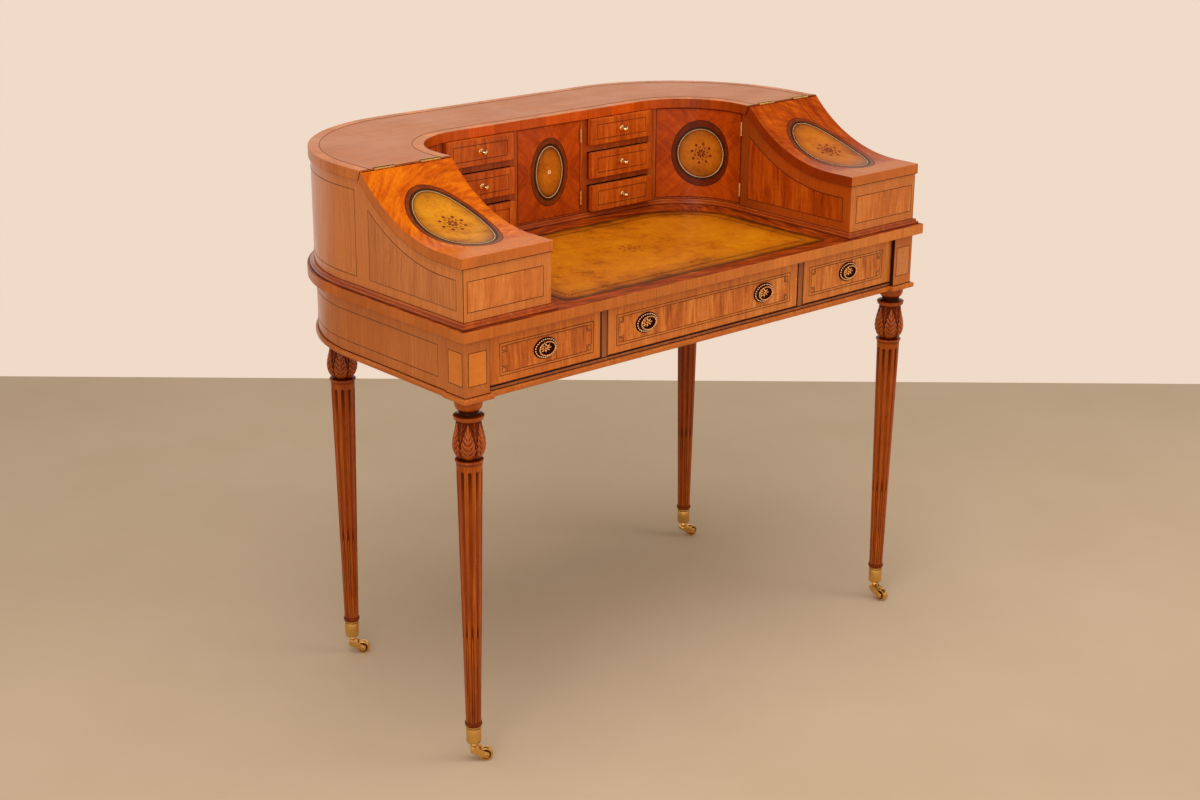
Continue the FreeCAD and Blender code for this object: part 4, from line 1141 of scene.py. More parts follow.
# Dark joints: quirks of the gallery bead, gaps round the drawers, the frieze on its moulding
jointSet = {"beadTop": 787.2, "cornerTop": 874.3, "quirks": ((0.1, 787.3), (8.2, 778.3)), "quirk": 0.6,
            "wide": 1.1, "frieze": 662.3, "rail": (487.5, -304.5), "gapX": (231.6, 244.4), "gapY": -303.9,
            "gapZ": (669.0, 758.0), "gapEnd": 487.0, "gapFoot": 668.4, "shadeY": (-312.3, -304.7),
            "shadeZ": (663.0, 758.0), "shadeDepth": (0.06, -0.3)}


def beadLoop(out, z):
    outer, outerEnd = uPlan("wall", out)
    inner, innerEnd = uPlan("gallery", -out)
    y = wingSet["frontY"] - out
    a, b = outerEnd(y), innerEnd(y)
    return runAlong(outer, -a, a, 120, z) + runAlong(inner, b, -b, 120, z)


def friezeLoop(z):
    (railX, railY), (px, py), half = jointSet["rail"], friezeSet["pilaster"], friezeSet["half"]
    end = apronReach(py + half)
    turn = [(px + half, py + half), (px + half, py - half), (railX, py - half), (railX, railY)]
    turn += [(-x, y) for x, y in reversed(turn)]
    return runAlong(apron, -end, end, 120, z) + [(x, y, z) for x, y in turn]


s = jointSet
quirks = [(beadLoop(out, z), True) for out, z in s["quirks"]]
gaps = [([(x, s["gapY"], s["gapFoot"]) for x in (-s["gapEnd"], s["gapEnd"])], False)]
shade, corners = newShape(), []
for side in (-1, 1):
    gaps += [([(side * x, s["gapY"], z) for z in s["gapZ"]], False) for x in s["gapX"]]
    recess = rectangle(lambda u, v: (side * s["rail"][0], u, v), *s["shadeY"], *s["shadeZ"])
    plate(shade, recess, (-side, 0, 0), *s["shadeDepth"])
    corner = (side * (outerX - sink), wingSet["frontY"] + sink)
    corners.append(([(*corner, s["beadTop"]), (*corner, s["cornerTop"])], False))
drawLines("beadQuirks", quirks, "desk", s["quirk"], "shadowGap")
drawLines("drawerGaps", gaps, "desk", s["wide"], "shadowGap")
drawLines("friezeJoint", [(friezeLoop(s["frieze"]), True)], "desk", s["wide"], "shadowGap")
makePiece("pilasterShade", shade, inlay["shadowGap"], "desk")
drawLines("wingCorners", corners, "desk", s["quirk"])

# Joints of the lids: below their edges, under their hinges and down the shelf's mitred ends
lidJointSet = {"in": (0.8, 0.5), "end": -60.0, "rise": 0.4, "side": 0.5, "sideIn": 0.35, "front": 0.9,
               "frontIn": 0.5, "hingeIn": 1.2, "lidY": -47.0, "lidDepth": 0.95, "lidLine": 1.45,
               "shelfY": -44.9, "shelfLine": 0.75,
               "mitreX": (540.7, 355.4), "mitre": ((-45.0, 985.0), (-37.8, 968.2))}
for side, sign in sides:
    s = lidJointSet
    body = "lid_" + side
    low, high = (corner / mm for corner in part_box("lid_" + side))
    under = [(lidSet["front"] + s["in"][0], low.z + s["in"][1])]
    thick = lidSet["flatZ"] - low.z
    under += [(y, underLid(y, thick) + s["rise"]) for y in spread(lidSet["flatEnd"], s["end"], 24)]
    across = lambda inset, y, z: ([(low.x + inset, y, z), (high.x - inset, y, z)], False)
    ends = [([(x, y, z) for y, z in under], False) for x in (low.x + s["sideIn"], high.x - s["sideIn"])]
    drawLines("lidSideJoint-" + side, ends, body, s["side"], "sideStringing")
    front = across(s["frontIn"], *under[0])
    drawLines("lidJoint-" + side, [front], body, s["front"], "shadowGap")
    onLidEdge = across(s["hingeIn"], s["lidY"], underLid(s["lidY"], s["lidDepth"]))
    drawLines("lidHingeLine-" + side, [onLidEdge], body, s["lidLine"], "shadowGap")
    runs = [across(s["hingeIn"], s["shelfY"], shelfSet["z"] - sink)]
    runs += [([(sign * x, y, z) for y, z in s["mitre"]], False) for x in s["mitreX"]]
    drawLines("shelfHingeLine-" + side, runs, "desk", s["shelfLine"], "shadowGap")

# Dark edges of the doors, a little way in from their outlines
doorEdgeSet = {"in": 0.8, "sunk": 0.5, "corner": 0.75, "centre": 0.65}
galleryRadius = planSet["gallery"][2]
cornerX, cornerY = innerX - galleryRadius, planSet["gallery"][1] - galleryRadius
s = doorEdgeSet
for side, sign in sides:
    low, high = (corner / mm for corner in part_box("corner_door_" + side))
    t0 = math.asin((low.y + s["in"] - cornerY) / galleryRadius)
    t1 = math.acos((min(abs(low.x), abs(high.x)) + s["in"] - cornerX) / galleryRadius)
    r = galleryRadius + s["sunk"]
    sweep = [(sign * (cornerX + r * math.cos(t)), cornerY + r * math.sin(t)) for t in spread(t0, t1, 40)]
    loop = [(x, y, low.z + s["in"]) for x, y in sweep]
    loop += [(x, y, high.z - s["in"]) for x, y in reversed(sweep)]
    drawLines("doorEdge-" + side, [(loop, True)], "door_" + side, s["corner"], "shadowGap")
low, high = (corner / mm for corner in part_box("centre_door"))
loop = rectangle(lambda u, v: (u, low.y + s["sunk"], v), low.x + s["in"], high.x - s["in"],
                 low.z + s["in"], high.z - s["in"])
drawLines("doorEdge-centre", [(loop, True)], "door_centre", s["centre"], "shadowGap")

# Stringing and ribbon fields on the frieze drawers
friezeDrawerSet = {
    "edges": {"left": (-486.7, -245.8), "centre": (-230.2, 230.2), "right": (245.8, 486.7)},
    "lines": {"left": (-461.0, -262.0), "centre": (-210.0, 210.0), "right": (262.0, 461.0)},
    "edgeZ": (670.0, 757.8), "edgeIn": 0.9, "edgeSunk": 0.95, "edge": 1.2, "faceY": -304.5,
    "z": (683.0, 737.0), "inner": 4.5, "notch": 10.4, "squareIn": 0.8, "square": 7.2,
}
for drawer in ("left", "centre", "right"):
    s = friezeDrawerSet
    body = "drawer_" + drawer
    (u0, u1), (v0, v1) = s["lines"][drawer], s["z"]
    (e0, e1), (f0, f1), k = s["edges"][drawer], s["edgeZ"], s["edgeIn"]
    face = lambda u, v: (u, s["faceY"] + sink, v)
    arris = lambda u, v: (u, s["faceY"] + s["edgeSunk"], v)
    flat = lambda u, v: (u, s["faceY"], v)
    drawLines("drawerLine-" + drawer, [(rectangle(face, u0, u1, v0, v1), True)], body)
    edge = rectangle(arris, e0 + k, e1 - k, f0 + k, f1 - k)
    drawLines("drawerEdge-" + drawer, [(edge, True)], body, s["edge"], "shadowGap")
    u0, u1, v0, v1 = u0 + s["inner"], u1 - s["inner"], v0 + s["inner"], v1 - s["inner"]
    runs = [(notched(face, u0, u1, v0, v1, s["notch"]), True)]
    a, b = s["squareIn"], s["squareIn"] + s["square"]
    for u, du in ((u0, 1), (u1, -1)):
        for v, dv in ((v0, 1), (v1, -1)):
            runs.append((rectangle(face, u + du * a, u + du * b, v + dv * a, v + dv * b), True))
    drawLines("drawerFineLine-" + drawer, runs, body, lineSet["fine"], "fineStringing")
    field = newShape()
    plate(field, notched(flat, u0, u1, v0, v1, s["notch"]), (0, -1, 0))
    makePiece("drawerField-" + drawer, field, panelVeneer, body)


# Small drawers: one line and a dark tray inside
def tray(shape, x0, x1, y0, y1, z0, z1, thick):
    def ring(inset, z):
        corners = ((x0 + inset, y0 + inset), (x1 - inset, y0 + inset), (x1 - inset, y1 - inset),
                   (x0 + inset, y1 - inset))
        return [(x, y, z) for x, y in corners]
    addShell(shape, *skin([ring(0.0, z0), ring(0.0, z1), ring(thick, z1), ring(thick, z0 + thick)]))


smallSet = {"x": (93.8, 247.2), "front": {"top": 111.0, "middle": 108.5, "bottom": 107.0},
            "z": {"top": (917.2, 966.7), "middle": (853.6, 903.1), "bottom": (790.1, 839.6)},
            "marginX": 15.0, "marginZ": 11.0,
            "lining": {"side": 7.4, "front": 10.1, "back": 6.1, "floor": 7.3, "top": 3.8, "thick": 0.4}}
for side, sign in sides:
    for row in ("top", "middle", "bottom"):
        label = side + "-" + row
        body = "small_" + side + "_" + row
        x0, x1 = sorted(sign * x for x in smallSet["x"])
        z0, z1 = smallSet["z"][row]
        y, mx, mz = smallSet["front"][row], smallSet["marginX"], smallSet["marginZ"]
        line = rectangle(lambda u, v: (u, y + sink, v), x0 + mx, x1 - mx, z0 + mz, z1 - mz)
        drawLines("smallLine-" + label, [(line, True)], body)
        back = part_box("small_drawer_" + side + "_" + row)[1].y / mm
        s = smallSet["lining"]
        inside = newShape()
        tray(inside, x0 + s["side"], x1 - s["side"], y + s["front"], back - s["back"], z0 + s["floor"],
             z1 - s["top"], s["thick"])
        makePiece("lining-" + label, inside, inlay["lining"], body)
print("stringing and fields laid")

# Ovals of leather in dark bands, on a curved or flat face
ovalSet = {
    "lid": {"outer": (67.0, 103.0), "leather": (56.0, 90.0), "floret": 25.0, "dark": 4.2,
            "tool": (1.6, 0.5, 0.34), "band": "ovalBrown", "hide": ovalHide},
    "corner": {"outer": (59.0, 65.5), "leather": (47.5, 49.0), "floret": 22.0, "dark": 4.0,
               "tool": (1.6, 1.15, 0.6), "band": "ovalDeep", "hide": doorHide},
    "centre": {"outer": (45.0, 65.0), "leather": (33.0, 50.0), "floret": 0.0, "dark": 4.4,
               "tool": (1.6, 1.15, 0.6), "band": "ovalBrown", "hide": doorHide},
    "lidAlong": -168.0, "line": 1.2, "root": -0.4, "lineLift": 0.08, "bandLift": 0.06, "padLift": 0.1,
    "cushion": 0.2, "toolIn": 1.6, "toolPitch": 3.0, "toolLift": 0.12, "markLift": 0.36, "markDepth": 0.5,
    "petals": 6, "petal": (1.0, 4.6, 2.6), "floretTurn": 0.2, "around": 128,
}
# half of a pointed leaf: how far along it, and its half width
leafHalf = ((0.0, 0.12), (0.3, 0.8), (0.6, 1.0), (0.85, 0.55))
# rings of leaves in a floret: turn, start, end and width as shares of its size
floretLeaves = ((0.0, 0.08, 0.44, 0.17), (0.0, 0.7, 1.0, 0.25), (0.39, 0.46, 0.68, 0.12),
                (0.14, 0.5, 0.66, 0.08))


def ovalLoop(place, size, height, n):
    return [place(size[0] * c, size[1] * s, height) for c, s in circle(n)]


def ovalRing(shape, place, outer, inner, lift):
    sections = ((outer, ovalSet["root"]), (outer, lift), (inner, lift), (inner, ovalSet["root"]))
    rings = [ovalLoop(place, size, height, ovalSet["around"]) for size, height in sections]
    addShell(shape, *skin(rings, wrap=True))


def ovalPad(shape, place, size, rows=14):
    # a cushioned face, and an underside that follows the face too, so a curved pad stays thin
    n, shares = ovalSet["around"], spread(0.0, 1.0, rows)
    sections = [(r, ovalSet["padLift"] + ovalSet["cushion"] * (1 - r ** 4)) for r in shares]
    sections += [(r, ovalSet["root"]) for r in reversed(shares)]
    rings = [ovalLoop(place, (r * size[0], r * size[1]), height, n) for r, height in sections]
    rim = [(1 - r) * min(size) * mm for r in shares for k in range(n)] + [0.0] * n * len(shares)
    addShell(shape, *skin(rings), None, rim)


def leafMark(shape, place, turn, near, far, wide, lift):
    # a pointed leaf lying on the face, its tip outwards
    loop = []
    for t, w in leafHalf + ((1.0, 0.0),) + tuple((t, -w) for t, w in reversed(leafHalf)):
        r, a = near + (far - near) * t, 0.5 * wide * w
        loop.append((r * math.cos(turn) - a * math.sin(turn), r * math.sin(turn) + a * math.cos(turn)))
    heights = (lift, lift - ovalSet["markDepth"])
    addShell(shape, *skin([[place(u, v, height) for u, v in loop] for height in heights]))


def floret(shape, place, size, lift):
    for k in range(8):
        start = math.pi * k / 4 + ovalSet["floretTurn"]
        for turn, near, far, wide in floretLeaves:
            leafMark(shape, place, start + turn, near * size, far * size, wide * size, lift)


def onLid(side):
    def place(u, v, lift):
        t = ovalSet["lidAlong"] + v
        if t <= lidSet["flatEnd"]:
            y, z, ny, nz = t, lidSet["flatZ"], 0.0, 1.0
        else:
            turn = (t - lidSet["flatEnd"]) / lidSet["radius"]
            ny, nz = -math.sin(turn), math.cos(turn)
            y, z = lidSet["flatEnd"] - lidSet["radius"] * ny, lidSet["arcZ"] - lidSet["radius"] * nz
        return (side * lidSet["centreX"] + u, y + ny * lift, z + nz * lift)
    return place


def onCornerDoor(side):
    def place(u, v, lift):
        turn = (doorSet["cornerMiddle"] + u) / galleryRadius
        r = galleryRadius - lift
        return (side * (cornerX + r * math.cos(turn)), cornerY + r * math.sin(turn), doorSet["middleZ"] + v)
    return place


def onCentreDoor(u, v, lift):
    return (u, planSet["gallery"][1] - lift, doorSet["middleZ"] + v)


ovalJobs = [("centre", "centre", onCentreDoor, "door_centre")]
for side, sign in sides:
    ovalJobs.append(("lid", "lid-" + side, onLid(sign), "lid_" + side))
    ovalJobs.append(("corner", "corner-" + side, onCornerDoor(sign), "door_" + side))
for kind, label, place, body in ovalJobs:
    s = ovalSet[kind]
    (a, b), (c, d) = s["outer"], s["leather"]
    line, dark, toolIn = ovalSet["line"], s["dark"], ovalSet["toolIn"]
    sizes = ((a, b), (a - line, b - line), (c + dark, d + dark), (c, d))
    lineLift, bandLift = ovalSet["lineLift"], ovalSet["bandLift"]
    hoops = (("ovalLine-", lineLift, "stringing"), ("ovalBand-", bandLift, s["band"]),
             ("ovalShade-", lineLift, "ovalDark"))
    for (start, lift, finish), outer, inner in zip(hoops, sizes, sizes[1:]):
        hoop = newShape()
        ovalRing(hoop, place, outer, inner, lift)
        makePiece(start + label, hoop, inlay[finish], body)
    pad, marks = newShape(), newShape()
    ovalPad(pad, place, (c, d))
    makePiece("ovalLeather-" + label, pad, s["hide"], body)
    ring = ovalLoop(place, (c - toolIn, d - toolIn), ovalSet["toolLift"], 160)
    tooled = beadRow("ovalTooling-" + label, [(ring, True)], ovalSet["toolPitch"], s["tool"], 1,
                     inlay["creamTooling"])
    settle("ovalTooling-" + label, tooled, body)
    if s["floret"]:
        floret(marks, place, s["floret"], ovalSet["markLift"])
    else:
        # a small rosette in the middle of the centre door
        for turn in spread(0.0, 2 * math.pi, ovalSet["petals"])[:-1]:
            leafMark(marks, place, turn, *ovalSet["petal"], ovalSet["markLift"])
    finish = inlay["floretStain" if s["floret"] else "creamTooling"]
    makePiece("floret-" + label, marks, finish, body)
print("ovals inlaid")

# Tooling of the writing leather
toolSet = {"inset": 27.0, "second": 31.0, "corner": 6.0, "z": 778.0, "pitch": 6.6, "dash": (3.0, 1.4, 0.32),
           "line": 0.5, "lineSunk": 0.2, "floretY": -110.0, "floret": 26.0, "floretLift": 0.05}


def leatherLoop(inset, z):
    plan, reachY = uPlan("leather", -inset)
    r = toolSet["corner"]
    x, y = planSet["leather"][0] - inset - r, leatherSet["front"] + inset + r
    end = reachY(y)
    corner = [(x + r * math.cos(a), y - r * math.sin(a), z) for a in spread(0, math.pi / 2, 5)]
    return runAlong(plan, -end, end, 160, z) + corner + [(-u, v, w) for u, v, w in reversed(corner)]


def onLeather(u, v, lift):
    return (u, toolSet["floretY"] + v, toolSet["z"] + lift)


s = toolSet
dashes = beadRow("leatherTooling", [(leatherLoop(s["inset"], s["z"]), True)], s["pitch"], s["dash"], 1,
                 inlay["toolStain"])
settle("leatherTooling", dashes, "desk")
inner = leatherLoop(s["second"], s["z"] - s["lineSunk"])
drawLines("leatherLine", [(inner, True)], "desk", s["line"], "toolStain")
marks = newShape()
floret(marks, onLeather, s["floret"], s["floretLift"])
makePiece("leatherFloret", marks, inlay["faintStain"], "desk")
print("leather tooled")

# Legs: turned rings, a carved bulb and a fluted column; turned points are radius, height and any hollow
legSet = {
    "axis": {"front_left": (-512.6, -287.5), "front_right": (512.6, -287.5),
             "back_left": (-432.64, 190.15), "back_right": (432.64, 190.15)},
    # the hollow of a turned point darkens it, partly stain and partly painted shade
    "neck": [(23.4, 652.6), (23.5, 648.0), (22.9, 642.6), (21.6, 638.6, 0.1), (19.4, 635.8, 0.5),
             (17.2, 634.2, 0.85), (16.2, 631.6, 1.0), (16.8, 628.6, 1.0), (19.8, 626.6, 0.95),
             (23.6, 625.7, 0.7), (25.5, 625.2, 0.1), (25.9, 624.4), (25.3, 623.4, 0.1), (25.0, 622.6, 0.2),
             (25.1, 621.2), (24.1, 619.2), (22.3, 617.8, 0.3), (20.6, 617.0, 0.7), (16.0, 616.4, 0.8)],
    "ring": [(13.0, 554.0, 1.0), (15.2, 551.6, 1.0), (18.2, 550.5, 0.95), (21.2, 550.1, 0.7),
             (23.2, 549.8, 0.25), (24.0, 549.1), (24.0, 547.9), (23.2, 546.6, 0.1), (22.3, 545.4, 0.35),
             (21.9, 543.6, 0.4), (21.7, 541.2, 0.2), (14.0, 540.0, 0.7)],
    "foot": [(11.0, 76.4, 0.6), (12.6, 75.8, 0.75), (14.1, 74.6, 0.6), (15.0, 72.2, 0.5), (14.8, 69.2, 0.5),
             (13.6, 67.4, 0.6), (11.0, 66.8, 0.7)],
    "bulb": [(15.0, 551.0), (17.2, 553.2), (21.8, 558.4), (25.0, 566.0), (26.2, 574.0), (25.8, 582.0),
             (24.4, 591.0), (22.5, 600.0), (20.8, 609.0), (20.1, 617.2)],
    "leaves": 6, "around": 288, "twist": -131.4,
    "column": {"Foot": 66.0, "Head": 541.5, "FootRadius": 12.9, "HeadRadius": 21.6, "Depth": 2.6,
               "FluteTop": 532.5, "FillTop": 238.0},
    "fluting": {"Flutes": 10, "FluteShare": 0.48, "Around": 241, "Rows": 140},
    "blockZ": (652.7, 758.4), "backHalf": 22.0, "backTurn": 42.0, "chamfer": 0.7,
}
# half width of a carved leaf up its height, from its foot to its tip
leafSteps = ((0.0, 0.6), (0.12, 0.86), (0.28, 0.97), (0.5, 0.84), (0.7, 0.54), (0.86, 0.22), (0.95, 0.0),
             (1.01, 0.0))


def leafWidth(t):
    for (t0, w0), (t1, w1) in zip(leafSteps, leafSteps[1:]):
        if t < t1:
            return (w0 + (w1 - w0) * (t - t0) / (t1 - t0)) * (1 + 0.1 * math.cos(13 * math.pi * t))
    return 0.0


def bell(x, width):
    return math.exp(-(x / width) ** 2)


def carving(t, a):
    # how far the carving stands out at height t, where a is 0 on a leaf's rib and 1 between two
    wide = leafWidth(t)
    d = abs(a) / wide if wide > 0.02 else 9.0
    if d < 1:
        # front leaf: rib, veins that rise from it, and a rolled edge
        vein = (0.5 + 0.5 * math.cos(15 * math.pi * (t - 0.2 * d))) ** 3
        lift = 1.0 + 0.45 * (1 - d * d) + 0.4 * bell(a, 0.07) + 0.3 * bell(d - 0.88, 0.08)
        lift -= 1.35 * vein * min(1.0, 6 * abs(a)) * (1 - d ** 6)
    else:
        # back leaf between two front ones
        b = 1 - abs(a)
        vein = (0.5 + 0.5 * math.cos(12 * math.pi * (t - 0.35 * b))) ** 3
        lift = 0.2 + 0.4 * bell(b, 0.08) - 0.9 * vein * min(1.0, 5 * b)
    lift -= 1.2 * bell(d - 1.0, 0.07)
    return lift * max(min(1.0, t / 0.05, (1 - t) / 0.05), 0.0)


def carvedBulb(shape, axis):
    line = smoothLine(legSet["bulb"], 14)
    n, foot, tip = legSet["around"], line[0][1], line[-1][1]
    pitch = 2 * math.pi / legSet["leaves"]
    twist = math.radians(legSet["twist"])
    rings = [[(*axis, foot)] * n]
    hollow = [1.0] * n
    for radius, z in line:
        ring = []
        for turn in spread(0.0, 2 * math.pi, n)[:-1]:
            a = (turn / pitch - math.floor(turn / pitch + 0.5)) * 2
            lift = carving((z - foot) / (tip - foot), a)
            r = radius + lift
            ring.append((axis[0] + r * math.cos(turn + twist), axis[1] + r * math.sin(turn + twist), z))
            # partly stain, partly painted shade: the carving's recesses get a higher hollow
            hollow.append(min(max((0.98 - lift) / 1.35, 0.04), 0.88))
        rings.append(ring)
    rings.append([(*axis, tip)] * n)
    addShell(shape, *skin(rings), hollow + [1.0] * n)


def turnedTo(points, axis, degrees):
    c, s = math.cos(math.radians(degrees)), math.sin(math.radians(degrees))
    return [(axis[0] + x * c - y * s, axis[1] + x * s + y * c, z) for x, y, z in points]


def block(shape, axis, half, degrees):
    # an upright square block with its long arrises eased
    loop = []
    for sx, sy in ((1, 1), (-1, 1), (-1, -1), (1, -1)):
        pair = [(half, half - legSet["chamfer"]), (half - legSet["chamfer"], half)]
        loop += [(sx * p, sy * q) for p, q in (pair if sx * sy > 0 else reversed(pair))]
    addShell(shape, *skin([turnedTo([(x, y, z) for x, y in loop], axis, degrees) for z in legSet["blockZ"]]))


for place in places:
    axis = legSet["axis"][place]
    turned = newShape()
    lathe(turned, axis, legSet["neck"], 96)
    lathe(turned, axis, legSet["ring"], 96)
    lathe(turned, axis, legSet["foot"])
    carvedBulb(turned, axis)
    sizes = {label: value * mm for label, value in legSet["column"].items()}
    column = grown("column-" + place, bpy.data.meshes.new("columnGuide"), flutedTree,
                   Axis=scaled((*axis, 0.0)), Material=legWood, **sizes, **legSet["fluting"])
    mesh = joined("leg-" + place, [shapeMesh("turned", turned, legWood, 50.0), tidyMesh(column, 50.0)])
    settle("leg-" + place, mesh, "desk", ["leg_" + place])
    top = newShape()
    if place.startswith("front"):
        block(top, axis, friezeSet["half"], 0.0)
    else:
        block(top, axis, legSet["backHalf"], math.copysign(legSet["backTurn"], axis[0]))
    makePiece("legBlock-" + place, top, apronVeneer, "desk", sharp=20.0)
print("legs turned")

# Castors: cup, horn and wheel in cast brass; rounds of the horn are across, height and radius
castorSet = {
    "cup": [(5.4, 33.9, 0.6), (8.6, 34.0, 0.3), (11.4, 34.9, 0.1), (12.5, 36.6), (12.9, 39.0),
            (12.9, 62.2), (12.6, 62.8, 0.5), (12.6, 63.6, 0.5), (13.1, 64.2, 0.1), (13.3, 65.2),
            (13.0, 66.4), (12.2, 66.9, 0.1), (11.0, 66.9, 0.5)],
    "neck": [(4.6, 20.0), (4.9, 24.0), (5.0, 27.4), (5.9, 28.6), (6.0, 30.2), (5.0, 31.4), (4.8, 33.4)],
    "pin": [(3.4, -9.0), (3.4, -9.35), (2.6, -9.75), (2.0, -9.8), (2.0, 9.8), (2.6, 9.75), (3.4, 9.35),
            (3.4, 9.0)],
    "wheel": [(2.1, -6.0), (3.6, -6.0), (4.0, -5.2, 0.6), (8.2, -4.9, 0.6), (9.0, -5.9), (10.6, -6.0),
              (11.5, -5.5), (11.95, -4.4), (12.0, 0.0)],
    "heading": {"front_left": -34.0, "front_right": -91.0, "back_left": -41.0, "back_right": -11.0},
    "crown": (0.0, 21.4, 6.4), "eye": (20.0, 12.0, 6.0), "slot": 6.45, "cheek": 9.1, "clear": 13.1,
    "overlap": 0.6, "cheekRound": 1.2, "crownRound": 0.5,
}


def bevelled(shape, verts, faces, width, segments=3):
    # the shell with its sharp edges rounded, added to the shape
    work = bmesh.new()
    made = [work.verts.new(point) for point in verts]
    for face in faces:
        work.faces.new([made[i] for i in face])
    bmesh.ops.recalc_face_normals(work, faces=work.faces)
    sharp = [edge for edge in work.edges if edge.calc_face_angle(0.0) > math.radians(40)]
    bmesh.ops.bevel(work, geom=sharp, offset=width, segments=segments, profile=0.5, affect="EDGES",
                    clamp_overlap=True)
    work.verts.index_update()
    addShell(shape, [v.co[:] for v in work.verts], [[v.index for v in face.verts] for face in work.faces])
    work.free()


def arc(x, z, radius, start, end, steps):
    return [(x + radius * math.cos(a), z + radius * math.sin(a)) for a in spread(start, end, steps)]


def hornLoop(clear):
    # side view of the horn: two rounds joined by tangents, hollowed for the wheel if asked
    crown, eye = castorSet["crown"], castorSet["eye"]
    dx, dz = eye[0] - crown[0], eye[1] - crown[1]
    lean = math.atan2(dz, dx)
    half = math.acos((crown[2] - eye[2]) / math.hypot(dx, dz))
    loop = arc(*eye, lean + half, lean - half, 16) + arc(*crown, lean - half, lean + half - 2 * math.pi, 20)
    if not clear:
        return loop
    r = castorSet["clear"]
    outside = [(x, z) for x, z in loop if math.hypot(x - eye[0], z - eye[1]) > r]
    ends = [math.atan2(z - eye[1], x - eye[0]) % (2 * math.pi) for x, z in (outside[-1], outside[0])]
    return outside + arc(eye[0], eye[1], r, *ends, 14)


def prism(shape, loop, y0, y1, width):
    bevelled(shape, *skin([[(x, y, z) for x, z in loop] for y in (y0, y1)]), width)


cups = newShape()
for place in places:
    s = castorSet
    axis, heading = legSet["axis"][place], s["heading"][place]
    lathe(cups, axis, s["cup"])
    fork, axle, tread = newShape(), newShape(), newShape()
    lathe(fork, (0, 0), s["neck"], 48)
    prism(fork, hornLoop(False), -s["cheek"], -s["slot"], s["cheekRound"])
    prism(fork, hornLoop(False), s["slot"], s["cheek"], s["cheekRound"])
    prism(fork, hornLoop(True), -s["slot"] - s["overlap"], s["slot"] + s["overlap"], s["crownRound"])
    lathe(axle, (0, 0), s["pin"], 32)
    lathe(tread, (0, 0), s["wheel"] + [(r, -h, *deep) for r, h, *deep in reversed(s["wheel"][:-1])])
    for shell in (axle, tread):
        shell["verts"] = [(s["eye"][0] + x, z, s["eye"][1] + y) for x, y, z in shell["verts"]]
    addShell(fork, axle["verts"], axle["faces"])
    for shell in (fork, tread):
        shell["verts"] = turnedTo(shell["verts"], axis, heading)
    makePiece("castorHorn-" + place, fork, brass["castor"], "castor_" + place,
              ["castor_fork_" + place], 45.0)
    makePiece("castorWheel-" + place, tread, brass["castor"], "wheel_" + place,
              ["castor_wheel_" + place])
makePiece("castorCups", cups, brass["castor"], "desk", ["leg_ferrules"])
print("castors cast")

# Oval pulls: beaded plate, rosette and beaded ring; points of the rim are inset, height and hollow
pullSet = {
    "faceY": -304.5, "z": 711.9, "half": (25.0, 18.0), "pivotY": -310.9, "pivotZ": 723.4,
    "at": {"left": (-366.25,), "centre": (-142.0, 142.0), "right": (366.25,)},
    "rim": [(0.0, 0.0, 0.8), (0.0, 0.8, 0.7), (0.5, 1.5, 0.5), (1.4, 1.7, 0.6), (1.9, 2.3, 0.4),
            (2.5, 2.7, 0.2), (3.6, 2.6, 0.3), (4.2, 2.1, 0.5), (5.0, 1.7, 0.7), (6.2, 1.2, 0.9),
            (9.5, 0.9, 1.0)],
    "beadInset": 2.9, "beadHeight": 2.3, "beadPitch": 4.4, "bead": (1.75, 1.5, 1.5),
    "boss": (12.8, 8.4), "bossFoot": 0.8, "petals": 8, "petalOut": 0.62, "petalLong": 0.36,
    "petalWide": 0.17, "petalTall": 2.6, "button": (0.2, 0.24), "buttonTall": 3.9,
    "staple": {"apart": 3.4, "half": 1.7, "wide": 2.4, "tall": 8.0, "root": 0.2},
    "ring": (16.5, 11.5), "ringPitch": 3.3, "ringBead": (1.6, 1.45, 1.45), "core": 1.0,
}


def oval(x, half, y, inset=0.0, start=0.0):
    a, b = half[0] - inset, half[1] - inset
    return [(x + a * c, y, pullSet["z"] + b * s) for c, s in circle(96, start)]


def dome(shape, x, z, y, half, wide, tall, turn=0.0, n=20, rows=6):
    # a long round boss that stands out towards the front
    rings, hollow = [], []
    for share in spread(0.0, 1.0, rows):
        lean = share * math.pi / 2
        ring = []
        for c, s in circle(n):
            p, q = half * math.sin(lean) * c, wide * math.sin(lean) * s
            ring.append((x + p * math.cos(turn) - q * math.sin(turn), y - tall * math.cos(lean),
                         z + p * math.sin(turn) + q * math.cos(turn)))
        rings.append(ring)
        hollow += [0.75 * share ** 4] * n
    addShell(shape, *skin(rings), hollow)


def pullPlate(shape, rosette, x):
    s = pullSet
    rings = [oval(x, s["half"], s["faceY"] - height, inset) for inset, height, deep in s["rim"]]
    addShell(shape, *skin(rings), [deep for inset, height, deep in s["rim"] for point in rings[0]])
    # rosette: a ring of petals round a button
    a, b = s["boss"]
    y = s["faceY"] - s["bossFoot"]
    for cosine, sine in circle(s["petals"]):
        u, v, out = a * cosine, b * sine, s["petalOut"]
        dome(rosette, x + out * u, s["z"] + out * v, y, s["petalLong"] * math.hypot(u, v),
             s["petalWide"] * (a + b) / 2, s["petalTall"], math.atan2(v, u))
    dome(rosette, x, s["z"], y, s["button"][0] * a, s["button"][1] * b, s["buttonTall"])
    # staple that the ring hangs from
    k = s["staple"]
    for offset in (-k["apart"], k["apart"]):
        dome(shape, x + offset, s["pivotZ"], s["faceY"] + k["root"], k["half"], k["wide"], k["tall"])


